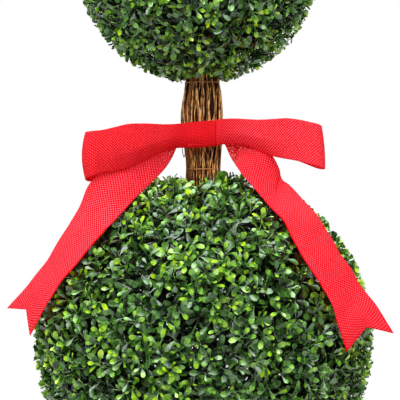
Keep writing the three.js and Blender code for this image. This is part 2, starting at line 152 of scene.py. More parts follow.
class Wiring:
    """Adds nodes to one node tree and joins their sockets."""

    def __init__(self, tree: NodeTree) -> None:
        """Keep the tree that is wired."""
        self.tree = tree

    @staticmethod
    def pick(sockets: Sequence[Socket], name: str | int) -> Socket:
        """Find a socket that is in use, by its name, identifier or place.

        Args:
            sockets: A node's inputs or outputs.
            name: The socket's name or identifier, or its place in the list.

        Returns:
            The first socket in use that fits.
        """
        if isinstance(name, int):
            return sockets[name]
        return next(s for s in sockets if s.enabled and name in (s.name, s.identifier))

    def feed(self, socket: Socket, value: object) -> None:
        """Join the value to the socket when it is a socket too, and else set it there."""
        if isinstance(value, Socket):
            self.tree.links.new(value, socket)
        else:
            socket.default_value = value

    def add(self, kind: str, inputs: dict | None = None, **settings: object) -> Node:
        """Add one node.

        Args:
            kind: The node's type name.
            inputs: What each of its inputs takes, by name or place.
            **settings: The node's own settings.

        Returns:
            The new node.
        """
        node = self.tree.nodes.new(kind)
        for name, value in settings.items():
            setattr(node, name, value)
        for name, value in (inputs or {}).items():
            self.feed(self.pick(node.inputs, name), value)
        return node

    def out(self, kind: str, inputs: dict | None = None, output: str | int = 0,
            **settings: object) -> Socket:
        """Add one node and return the output that is named, which is else its first."""
        return self.pick(self.add(kind, inputs, **settings).outputs, output)

    def maths(self, operation: str, *values: object) -> Socket:
        """Return the result of one Math node on up to three values or sockets."""
        return self.out("ShaderNodeMath", dict(enumerate(values)), operation=operation)

    def times(self, *values: object) -> Socket:
        """Return the product of two or more values or sockets."""
        result = values[-1]
        for value in values[-2::-1]:
            result = self.maths("MULTIPLY", value, result)
        return result

    def weigh(self, first: object, share: float, second: object) -> Socket:
        """Return the sum of the first at its share and the second at what is left of one."""
        return self.maths("MULTIPLY_ADD", first, share, self.times(second, 1 - share))

    def mix(self, share: object, low: object, high: object) -> Socket:
        """Return low at share 0 and high at share 1, as numbers."""
        return self.maths("MULTIPLY_ADD", self.maths("SUBTRACT", high, low), share, low)

    def joined(self, x: object = 0.0, y: object = 0.0, z: object = 0.0) -> Socket:
        """Return the vector of three values or sockets."""
        return self.out("ShaderNodeCombineXYZ", {"X": x, "Y": y, "Z": z})

    def parted(self, vector: Socket) -> tuple[Socket, Socket, Socket]:
        """Return the three values of a vector."""
        outputs = self.add("ShaderNodeSeparateXYZ", {"Vector": vector}).outputs
        return outputs["X"], outputs["Y"], outputs["Z"]

    def place(self, scale: Place = (1, 1, 1)) -> Socket:
        """Return the piece's own coordinates, stretched by scale."""
        spot = self.out("ShaderNodeTexCoord", output="Object")
        return self.out("ShaderNodeMapping", {"Vector": spot, "Scale": scale})

    def noise(self, spot: Socket, scale: float, detail: float = 3.0) -> Socket:
        """Return a noise value about 0.5 at the given scale."""
        values = {"Vector": spot, "Scale": scale, "Detail": detail}
        return self.out("ShaderNodeTexNoise", values, output="Fac")

    def blend(self, share: object, low: object, high: object) -> Socket:
        """Return the mix of two colours, low at share 0 and high at share 1."""
        values = {"Factor": share}
        for name, colour in (("A", low), ("B", high)):
            values[name] = (*colour, 1.0) if isinstance(colour, tuple) else colour
        return self.out("ShaderNodeMix", values, output="Result", data_type="RGBA")

    def between(self, value: object, low: float, high: float,
                start: float = 0.0, end: float = 1.0) -> Socket:
        """Return value stretched from low..high to start..end, held at both."""
        values = {"Value": value, "From Min": low, "From Max": high, "To Min": start, "To Max": end}
        return self.out("ShaderNodeMapRange", values, output="Result", clamp=True)

    def bump(self, height: object, depth: float) -> Socket:
        """Return the surface's direction over a relief, in metres where the height is 1."""
        return self.out("ShaderNodeBump", {"Height": height, "Distance": depth}, output="Normal")


@dataclass(frozen=True)
class Finish:
    """A surface finish, made once as a node material and then shared."""

    name: str
    colour: Colour

    @cache
    def material(self) -> Material:
        """Return this finish's material, made at its first use."""
        material = bpy.data.materials.new(self.name)
        material.use_nodes = True
        material.node_tree.nodes.clear()
        material.diffuse_color = (*self.colour, 1.0)
        wiring = Wiring(material.node_tree)
        shader = wiring.out("ShaderNodeBsdfPrincipled", self.dress(wiring), output="BSDF")
        wiring.add("ShaderNodeOutputMaterial", {"Surface": shader})
        return material

    def dress(self, wiring: Wiring) -> Inputs:
        """Wire the finish's own pattern and return what each input of the shader takes."""
        raise NotImplementedError

    def mottled(self, wiring: Wiring, share: Socket, low: float, high: float) -> Socket:
        """Return the finish's colour times low at share 0 and times high at share 1."""
        return wiring.blend(share, scaled(self.colour, low), scaled(self.colour, high))


@dataclass(frozen=True)
class MouldedLeaf(Finish):
    """Satin plastic of one shade, a little uneven in colour and shine."""

    shine: tuple[float, float] = (0.2, 0.34)
    gloss: float = 1.0
    gloss_tint: Colour = (0.84, 1.0, 0.86)

    def dress(self, wiring: Wiring) -> Inputs:
        """Mottle the shade, the shine and the surface.

        Args:
            wiring: The material's nodes.

        Returns:
            What the shader's inputs take.
        """
        spot = wiring.place()
        broad = wiring.noise(spot, 34, 2)
        fine = wiring.noise(spot, 260)
        share = wiring.between(wiring.weigh(fine, 0.5, broad), 0.38, 0.62)
        return {
            "Base Color": self.mottled(wiring, share, 0.82, 1.2),
            "Roughness": wiring.between(fine, 0.35, 0.65, *self.shine),
            "Specular IOR Level": self.gloss,
            "Specular Tint": (*self.gloss_tint, 1.0),
            "Normal": wiring.bump(wiring.noise(spot, 900, 2), 0.12 * MM),
        }


@dataclass(frozen=True)
class Bark(Finish):
    """Dry twig bark, streaked along the twig and darker in its cracks."""

    dark: Colour

    def dress(self, wiring: Wiring) -> Inputs:
        """Streak the colour along Z and crack the surface.

        Args:
            wiring: The material's nodes.

        Returns:
            What the shader's inputs take.
        """
        streaks = wiring.noise(wiring.place((1, 1, 0.07)), 700)
        blotches = wiring.noise(wiring.place((1, 1, 0.5)), 330)
        knots = wiring.noise(wiring.place((1, 1, 0.6)), 240, 2)
        share = wiring.between(wiring.weigh(blotches, 0.4, streaks), 0.44, 0.56)
        colour = wiring.blend(share, self.dark, self.colour)
        spots = wiring.between(knots, 0.64, 0.72, 0.0, 0.6)
        return {
            "Base Color": wiring.blend(spots, colour, scaled(self.dark, 0.55)),
            "Roughness": wiring.between(streaks, 0.3, 0.7, 0.6, 0.86),
            "Specular IOR Level": 0.2,
            "Normal": wiring.bump(streaks, 0.35 * MM),
        }


@dataclass(frozen=True)
class Woven(Finish):
    """Coarse plain-woven ribbon: threads across and along, plain edges, painted shade between
    threads.

    Light is the painted highlight colour of the thread tops, laid on at the painted highlight
    share. Painted glow is a red emission that lifts the ribbon's shade, standing for light through
    the open cloth, and painted see through is pale backdrop light painted where the threads are
    pulled apart.
    """

    # light is the painted highlight colour of the thread tops
    light: Colour
    # dark is painted shade between the threads and in the loose patches
    dark: Colour
    width: float
    pitch: float
    # share of each thread top painted in the highlight colour
    painted_highlight: float = 0.5
    # tight is the gathered length near the knot, over which the painted highlight is halved
    tight: float = 0.0
    tight_fade: float = 30 * MM
    edge: float = 1.6 * MM
    loose: tuple[float, float] = (0.0, 0.0)
    loose_fade: float = 8 * MM
    # pale backdrop light painted where the threads part
    painted_see_through: Colour = (0.9, 0.46, 0.42)
    # painted glow: red emission that lifts the ribbon's shade
    painted_glow: float = 0.28
    painted_glow_colour: Colour = (1.0, 0.0, 0.006)

    def thread(self, wiring: Wiring, along: object) -> Socket:
        """Return how far up a thread's round back the place lies, from 0 to 1."""
        phase = wiring.times(along, math.pi / self.pitch)
        return wiring.maths("ABSOLUTE", wiring.maths("SINE", phase))

    def cell(self, wiring: Wiring, along: object) -> Socket:
        """Return the number of the thread that the place lies on."""
        return wiring.maths("FLOOR", wiring.maths("DIVIDE", along, self.pitch))

    def slack(self, wiring: Wiring, along: object) -> Socket:
        """Pull the threads apart in patches of the loose length.

        Args:
            wiring: The material's nodes.
            along: The place along the ribbon.

        Returns:
            How far apart they are, from 0 to 1.
        """
        start, end = self.loose
        rise = wiring.between(along, start, start + self.loose_fade)
        fall = wiring.between(along, end - self.loose_fade, end, 1.0, 0.0)
        patches = wiring.between(wiring.noise(wiring.place(), 60, 2), 0.36, 0.56)
        return wiring.times(patches, rise, fall)

    def dress(self, wiring: Wiring) -> Inputs:
        """Weave the threads from the ribbon's own width and length.

        Args:
            wiring: The material's nodes.

        Returns:
            What the shader's inputs take.
        """
        across, along, _ = wiring.parted(wiring.out("ShaderNodeUVMap", uv_map=WEAVE))
        crown = wiring.times(self.thread(wiring, across), self.thread(wiring, along))
        cells = wiring.maths("ADD", self.cell(wiring, across), self.cell(wiring, along))
        parity = wiring.maths("PINGPONG", cells, 1.0)
        half = self.width / 2
        from_middle = wiring.maths("ABSOLUTE", wiring.maths("SUBTRACT", across, half))
        inside = wiring.between(from_middle, half - self.edge, half - self.edge / 2, 1.0, 0.0)
        top = wiring.times(crown, parity, inside)
        gaps = wiring.times(wiring.between(crown, 0.0, 0.45, 1.0, 0.0), inside)
        blotches = wiring.between(wiring.noise(wiring.place(), 60), 0.4, 0.6)
        colour = self.mottled(wiring, blotches, 0.93, 1.06)
        # painted shade between the threads
        colour = wiring.blend(wiring.times(gaps, 0.7), colour, self.dark)
        # painted highlight on the thread tops, halved over the gathered length
        shine = wiring.between(
            along, self.tight, self.tight + self.tight_fade, self.painted_highlight / 2, self.painted_highlight
        )
        colour = wiring.blend(wiring.times(top, shine), colour, self.light)
        if self.loose[1] > self.loose[0]:
            slack = self.slack(wiring, along)
            # painted shade in the loose patches, with painted backdrop light in their gaps
            colour = wiring.blend(wiring.times(slack, 0.7), colour, self.dark)
            grain = wiring.between(wiring.noise(wiring.place(), 560, 1), 0.54, 0.6)
            colour = wiring.blend(wiring.times(grain, gaps, slack), colour, self.painted_see_through)
        return {
            "Base Color": colour,
            "Roughness": wiring.between(top, 0.0, 1.0, 0.78, 0.52),
            "Specular IOR Level": 0.06,
            # painted glow: red emission that lifts the ribbon's shade
            "Emission Color": (*self.painted_glow_colour, 1.0),
            "Emission Strength": self.painted_glow,
            "Normal": wiring.bump(wiring.weigh(top, 0.6, crown), 0.6 * MM),
        }


@dataclass(frozen=True)
class Metal(Finish):
    """Drawn wire, with dull patches."""

    metallic: float
    roughness: float

    def dress(self, wiring: Wiring) -> Inputs:
        """Dull the wire in patches.

        Args:
            wiring: The material's nodes.

        Returns:
            What the shader's inputs take.
        """
        patches = wiring.noise(wiring.place(), 180)
        low, high = self.roughness - 0.1, self.roughness + 0.15
        return {
            "Base Color": self.mottled(wiring, wiring.between(patches, 0.35, 0.65), 0.7, 1.15),
            "Roughness": wiring.between(patches, 0.3, 0.7, low, high),
            "Metallic": self.metallic,
        }


@dataclass(frozen=True)
class Earthen(Finish):
    """Baked clay or stone: two sizes of mottling, grains and a pitted skin."""

    pale: Colour
    broad: float
    grain: float
    pits: float
    roughness: float = 0.82

    def dress(self, wiring: Wiring) -> Inputs:
        """Mottle, speckle and pit the surface.

        Args:
            wiring: The material's nodes.

        Returns:
            What the shader's inputs take.
        """
        spot = wiring.place()
        clouds = wiring.noise(spot, self.broad, 5)
        grains = wiring.noise(spot, self.grain, 2)
        colour = wiring.blend(wiring.between(clouds, 0.36, 0.68), self.colour, self.pale)
        specks = wiring.between(grains, 0.6, 0.72, 0.0, 0.45)
        low, high = self.roughness - 0.12, self.roughness + 0.1
        return {
            "Base Color": wiring.blend(specks, colour, scaled(self.colour, 0.5)),
            "Roughness": wiring.between(clouds, 0.3, 0.7, low, high),
            "Normal": wiring.bump(wiring.weigh(clouds, 0.6, grains), self.pits),
        }


@dataclass(frozen=True)
class PaleFloor(Finish):
    """Matt pale floor that runs out into the white of the backdrop."""

    near: float
    far: float

    def dress(self, wiring: Wiring) -> Inputs:
        """Mottle the floor faintly and let it glow towards its rim.

        Args:
            wiring: The material's nodes.

        Returns:
            What the shader's inputs take.
        """
        spot = wiring.place()
        clouds = wiring.noise(spot, 5)
        run = wiring.out("ShaderNodeVectorMath", {0: spot}, output="Value", operation="LENGTH")
        rim = wiring.between(run, self.near, self.far)
        colour = self.mottled(wiring, wiring.between(clouds, 0.3, 0.7), 0.985, 1.01)
        return {
            "Base Color": wiring.blend(rim, colour, (0.0, 0.0, 0.0)),
            "Emission Color": (1.0, 1.0, 1.0, 1.0),
            "Emission Strength": rim,
            "Roughness": wiring.between(clouds, 0.3, 0.7, 0.85, 0.95),
            "Specular IOR Level": 0.0,
            "Normal": wiring.bump(clouds, 0.05 * MM),
        }


class LeafShade(IntEnum):
    """Shades of moulded leaf, dealt out face by face."""

    DEEP = 0
    DUSK = 1
    MID = 2
    FRESH = 3
    LIME = 4
    STALK = 5
    BRANCH = 6


LEAF_FINISHES: dict[LeafShade, Finish] = {
    # The deep shade is the leaves' own dark green, made near black as painted shade.
    LeafShade.DEEP: MouldedLeaf("leaf_deep_green", srgb(18, 42, 8)),
    LeafShade.DUSK: MouldedLeaf("leaf_dusk_green", srgb(54, 96, 26)),
    LeafShade.MID: MouldedLeaf("leaf_mid_green", srgb(100, 150, 42)),
    LeafShade.FRESH: MouldedLeaf("leaf_fresh_green", srgb(134, 180, 24)),
    LeafShade.LIME: MouldedLeaf("leaf_lime", srgb(168, 208, 14)),
    LeafShade.STALK: MouldedLeaf("sprig_stalk_green", srgb(88, 126, 44)),
    LeafShade.BRANCH: MouldedLeaf("sprig_branch_brown", srgb(34, 30, 18), (0.5, 0.7), 0.25),
}
# The green lattice frame is coloured near black as painted shade inside the ball.
LATTICE_FINISH = MouldedLeaf("lattice_dark_green", srgb(10, 16, 9), (0.5, 0.7), 0.2)

BARK_FINISHES: list[Finish] = [
    Bark("bark_tan", srgb(255, 200, 126), srgb(132, 82, 38)),
    Bark("bark_brown", srgb(190, 124, 66), srgb(80, 44, 18)),
    # Dark bark: the twigs' own dark tone, and painted shade for the inner layer.
    Bark("bark_dark", srgb(56, 34, 18), srgb(22, 12, 6)),
]
POLE_FINISH = Bark("pole_wood_brown", srgb(112, 76, 44), srgb(72, 46, 26))
BINDING_WIRE = Metal("binding_wire_brown", srgb(186, 124, 64), 0.2, 0.5)
GREY_WIRE = Metal("bow_wire_grey", srgb(120, 126, 140), 0.9, 0.35)

RIBBON_WIDTH = 51 * MM
RIBBON_FINISH = Woven(
    "ribbon_red_weave",
    colour=srgb(190, 2, 10),
    light=srgb(255, 116, 134),
    dark=srgb(104, 0, 4),
    width=RIBBON_WIDTH,
    pitch=1.55 * MM,
    tight=34 * MM,
)
# A lit copy: a lighter red with more painted highlight, for the right loop and the tails.
LIT_RIBBON_FINISH = replace(
    RIBBON_FINISH, name="ribbon_red_bright_weave", colour=srgb(202, 8, 22), painted_highlight=0.95, tight=0.0,
)
# The tails' loose weave, made from the lit copy.
LOOSE_RIBBON_FINISH = replace(
    LIT_RIBBON_FINISH, name="ribbon_red_loose_weave", pitch=1.75 * MM, loose=(20 * MM, 68 * MM),
)
CLAY_FINISH = Earthen("pot_clay", srgb(172, 92, 60), srgb(196, 124, 92), 14, 700, 0.3 * MM)
BED_FINISH = Earthen("bed_dark_grit", srgb(58, 50, 42), srgb(84, 74, 62), 60, 500, 1.2 * MM)
PEBBLE_FINISHES: list[Finish] = [
    Earthen("pebble_grey", srgb(138, 134, 126), srgb(164, 160, 150), 90, 900, 0.15 * MM, 0.6),
    Earthen("pebble_tan", srgb(158, 134, 104), srgb(184, 164, 134), 90, 900, 0.15 * MM, 0.6),
    Earthen("pebble_slate", srgb(90, 88, 88), srgb(116, 114, 112), 90, 900, 0.15 * MM, 0.6),
]
FLOOR_FINISH = PaleFloor("floor_pale", srgb(226, 225, 222), 0.45, 2.2)


def scene_object(name: str, data: ID) -> Object:
    """Return a new object in the scene, at the origin, that holds the data."""
    item = bpy.data.objects.new(name, data)
    bpy.context.scene.collection.objects.link(item)
    return item


def mesh_from(name: str, points: Sequence[Place] | Array, edges: Sequence[Face] = (),
              faces: Sequence[Face] = ()) -> Mesh:
    """Return a mesh of the points and of the lines or faces between them."""
    mesh = bpy.data.meshes.new(name)
    mesh.from_pydata([tuple(point) for point in points], list(edges), list(faces))
    return mesh


def line_mesh(name: str, lines: Array) -> Mesh:
    """Make a mesh of open lines.

    Args:
        name: The mesh's name.
        lines: Their points, by line, by place along it and by axis.

    Returns:
        The mesh, with an edge for each step.
    """
    count, steps = lines.shape[:2]
    edges = [
        (line * steps + step, line * steps + step + 1)
        for line, step in product(range(count), range(steps - 1))
    ]
    return mesh_from(name, lines.reshape(-1, 3), edges)


def note(mesh: Mesh, name: str, values: Array, domain: str = "POINT") -> None:
    """Store directions, whole numbers or other numbers on a mesh.

    Args:
        mesh: The mesh that they are stored on.
        name: The name that they go by.
        values: One row for each point or face.
        domain: POINT or FACE.
    """
    if values.ndim == 2:
        kind, key, form = "FLOAT_VECTOR", "vector", np.float32
    elif values.dtype.kind == "i":
        kind, key, form = "INT", "value", np.int32
    else:
        kind, key, form = "FLOAT", "value", np.float32
    layer = mesh.attributes.new(name, kind, domain)
    layer.data.foreach_set(key, values.astype(form).ravel())


def band(low: int, high: int, count: int) -> list[Face]:
    """Return the faces between two closed rings of points, from the numbers they start at."""
    around = [(here, (here + 1) % count) for here in range(count)]
    return [(low + here, low + after, high + after, high + here) for here, after in around]


def mesh_piece(name: str, points: Array, faces: Sequence[Face], finish: Finish,
               smooth: bool = True) -> Object:
    """Make a piece from points and faces.

    Args:
        name: The piece's name.
        points: Its points in metres.
        faces: The point numbers round each face.
        finish: Its one finish.
        smooth: Whether its faces are shaded as one surface.

    Returns:
        The new object at the origin.
    """
    mesh = mesh_from(name, points, faces=faces)
    mesh.materials.append(finish.material())
    mesh.polygons.foreach_set("use_smooth", np.full(len(mesh.polygons), smooth))
    mesh.validate()
    return scene_object(name, mesh)


def lay_weave(piece: Object, flat: Array) -> None:
    """Write the coordinates that a ribbon's weave follows.

    Args:
        piece: A piece of the bow.
        flat: Where each of its points lies on the flat ribbon.
    """
    layer = piece.data.uv_layers.new(name=WEAVE)
    corners = np.zeros(len(piece.data.loops), int)
    piece.data.loops.foreach_get("vertex_index", corners)
    layer.data.foreach_set("uv", flat[corners].astype(np.float32).ravel())


def shape_collection(name: str, meshes: Sequence[Mesh]) -> Collection:
    """Make a collection that instances are picked from.

    Args:
        name: Its name.
        meshes: The shapes.

    Returns:
        The collection, with an object for each mesh.
    """
    shapes = bpy.data.collections.new(name)
    bpy.context.scene.collection.children.link(shapes)
    for mesh in meshes:
        shapes.objects.link(bpy.data.objects.new(mesh.name, mesh))
    return shapes


def drop_collection(collection: Collection) -> None:
    """Remove a collection of shapes that were only copied from."""
    for item in list(collection.objects):
        bpy.data.objects.remove(item)
    bpy.data.collections.remove(collection)


class Rule(Wiring):
    """A Geometry Nodes tree with named inputs, whose result becomes a plain mesh."""

    SHADE = "shade"
    KEPT_LAYERS = ("sharp_face", "material_index")

    def __init__(self, name: str) -> None:
        """Start the tree with a geometry input and output.

        Args:
            name: The tree's name.
        """
        super().__init__(bpy.data.node_groups.new(name, "GeometryNodeTree"))
        self.identifiers: dict[str, str] = {}
        for side in ("INPUT", "OUTPUT"):
            self.tree.interface.new_socket(
                "Geometry", in_out=side, socket_type="NodeSocketGeometry"
            )
        self.source = self.tree.nodes.new("NodeGroupInput")
        self.result = self.tree.nodes.new("NodeGroupOutput")

    def given(self, *names: str, kind: str = "Float") -> list[Socket]:
        """Add named inputs of one kind.

        Args:
            *names: The inputs' names.
            kind: Float, Int or Collection.

        Returns:
            The sockets inside the tree that carry them.
        """
        for name in names:
            item = self.tree.interface.new_socket(
                name, in_out="INPUT", socket_type=f"NodeSocket{kind}"
            )
            self.identifiers[name] = item.identifier
        return [self.source.outputs[name] for name in names]

    def geometry(self) -> Socket:
        """Return the mesh that the tree is given."""
        return self.source.outputs["Geometry"]

    def shapes(self) -> Socket:
        """Add an input for a collection of shapes and return the shapes as single instances."""
        [collection] = self.given("Shapes", kind="Collection")
        values = {"Collection": collection, "Separate Children": True, "Reset Children": True}
        return self.out("GeometryNodeCollectionInfo", values)

    def position(self) -> tuple[Socket, Socket]:
        """Return each place's distance from the Z axis and its height."""
        x, y, z = self.parted(self.out("GeometryNodeInputPosition"))
        squares = self.maths("MULTIPLY_ADD", x, x, self.times(y, y))
        return self.maths("SQRT", squares), z

    def chance(self, low: object, high: object, item: Socket, seed: object,
               kind: str = "FLOAT") -> Socket:
        """Return a random value from low to high, the same for each item at each run."""
        values = {"Min": low, "Max": high, "ID": item, "Seed": seed}
        return self.out("FunctionNodeRandomValue", values, output="Value", data_type=kind)

    def read(self, name: str, kind: str = "FLOAT") -> Socket:
        """Return a named attribute of the geometry."""
        return self.out("GeometryNodeInputNamedAttribute", {"Name": name}, data_type=kind)

    def shaded(self, geometry: Socket, shade: object, domain: str = "CURVE") -> Socket:
        """Return the geometry with the number of its finish stored on it."""
        return self.out(
            "GeometryNodeStoreNamedAttribute",
            {"Geometry": geometry, "Name": self.SHADE, "Value": shade},
            data_type="INT", domain=domain,
        )

    def tube(self, curve: Socket, sides: object, radius: object) -> Socket:
        """Return the curve with a round skin of the given radius, closed at its ends."""
        ring = self.out(
            "GeometryNodeCurvePrimitiveCircle", {"Resolution": sides, "Radius": 1.0}, mode="RADIUS"
        )
        values = {"Curve": curve, "Profile Curve": ring, "Scale": radius, "Fill Caps": True}
        return self.out("GeometryNodeCurveToMesh", values)

    def close(self, geometry: Socket, finishes: Sequence[Finish]) -> None:
        """End the tree: realize, smooth, and give each face the finish that its shade names.

        Args:
            geometry: What the tree has made.
            finishes: The finishes, by the shade's number.
        """
        shade = self.read(self.SHADE, "INT")
        last = self.out("GeometryNodeRealizeInstances", {"Geometry": geometry})
        last = self.out("GeometryNodeSetShadeSmooth", {"Geometry": last})
        for number, finish in enumerate(finishes):
            chosen = self.out(
                "FunctionNodeCompare", {"A": shade, "B": number},
                data_type="INT", operation="EQUAL",
            )
            values = {"Geometry": last, "Selection": chosen, "Material": finish.material()}
            last = self.out("GeometryNodeSetMaterial", values)
        self.feed(self.result.inputs["Geometry"], last)

    def make(self, name: str, base: Mesh | None = None,
             turn: Matrix | None = None, **values: object) -> Object:
        """Run the tree once and keep its result as a plain mesh.

        Args:
            name: The new piece's name.
            base: The mesh that the tree starts from, or none.
            turn: A placing applied to the finished mesh.
            **values: The tree's inputs by name, with _ for a space.

        Returns:
            The finished object at the origin, with no modifier left.
        """
        start = base or bpy.data.meshes.new(name)
        piece = scene_object(name, start)
        modifier = piece.modifiers.new(name, "NODES")
        modifier.node_group = self.tree
        for key, value in values.items():
            modifier[self.identifiers[key.replace("_", " ")]] = value
        graph = bpy.context.evaluated_depsgraph_get()
        mesh = bpy.data.meshes.new_from_object(
            piece.evaluated_get(graph), preserve_all_data_layers=True, depsgraph=graph
        )
        piece.modifiers.remove(modifier)
        for layer in list(mesh.attributes):
            if not (layer.is_required or layer.is_internal or layer.name in self.KEPT_LAYERS):
                mesh.attributes.remove(layer)
        if turn is not None:
            mesh.transform(turn)
        mesh.name = name
        piece.data = mesh
        bpy.data.meshes.remove(start)
        return piece


def seat(piece: Object, slot: Slot, *nodes: str) -> Object:
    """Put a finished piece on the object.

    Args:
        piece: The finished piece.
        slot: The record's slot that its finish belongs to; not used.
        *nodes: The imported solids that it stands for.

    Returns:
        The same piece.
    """
    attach(piece, BODY)
    if nodes:
        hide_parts(*nodes)
    triangles = sum(len(face.vertices) - 2 for face in piece.data.polygons)
    LOG.info("%s: %d triangles, stands for %s", piece.name, triangles, ", ".join(nodes) or "none")
    return piece


@dataclass
class Lathe:
    """A body turned about +Z from a profile of radius and height."""

    profile: Profile
    sides: int = 96

    def piece(self, name: str, finish: Finish) -> Object:
        """Turn the profile, which starts and ends on the axis, into a closed piece.

        Args:
            name: The piece's name.
            finish: Its one finish.

        Returns:
            The new object at the origin.
        """
        inner = self.profile[1:-1]
        angles = np.arange(self.sides) * 2 * math.pi / self.sides
        rings = [polar(radius, angles, height) for radius, height in inner]
        ends = np.array([[0, 0, self.profile[0][1]], [0, 0, self.profile[-1][1]]])
        points = np.concatenate([*rings, ends])
        first, last = len(points) - 2, len(points) - 1
        top = (len(inner) - 1) * self.sides
        faces: list[Face] = []
        for side in range(self.sides):
            after = (side + 1) % self.sides
            faces.append((first, after, side))
            faces.append((last, top + side, top + after))
            for low in range(0, top, self.sides):
                high = low + self.sides
                faces.append((low + side, low + after, high + after, high + side))
        return mesh_piece(name, points, faces, finish)


def rounded(corners: list[tuple[float, float, float]], steps: int = 5) -> Profile:
    """Round the corners of a profile.

    Args:
        corners: Radius, height and rounding of each corner, in metres.
        steps: Spans in each rounded corner.

    Returns:
        The profile's points, with a curve in place of each rounded corner.
    """
    points: Profile = []
    for number, (radius, height, rounding) in enumerate(corners):
        here = np.array([radius, height])
        if rounding == 0 or number in (0, len(corners) - 1):
            points.append((radius, height))
            continue
        before = np.array(corners[number - 1][:2])
        after = np.array(corners[number + 1][:2])
        start = here + unit(before - here) * rounding
        end = here + unit(after - here) * rounding
        for step in range(steps + 1):
            share = step / steps
            spot = (1 - share) ** 2 * start + 2 * share * (1 - share) * here + share**2 * end
            points.append((float(spot[0]), float(spot[1])))
    return points


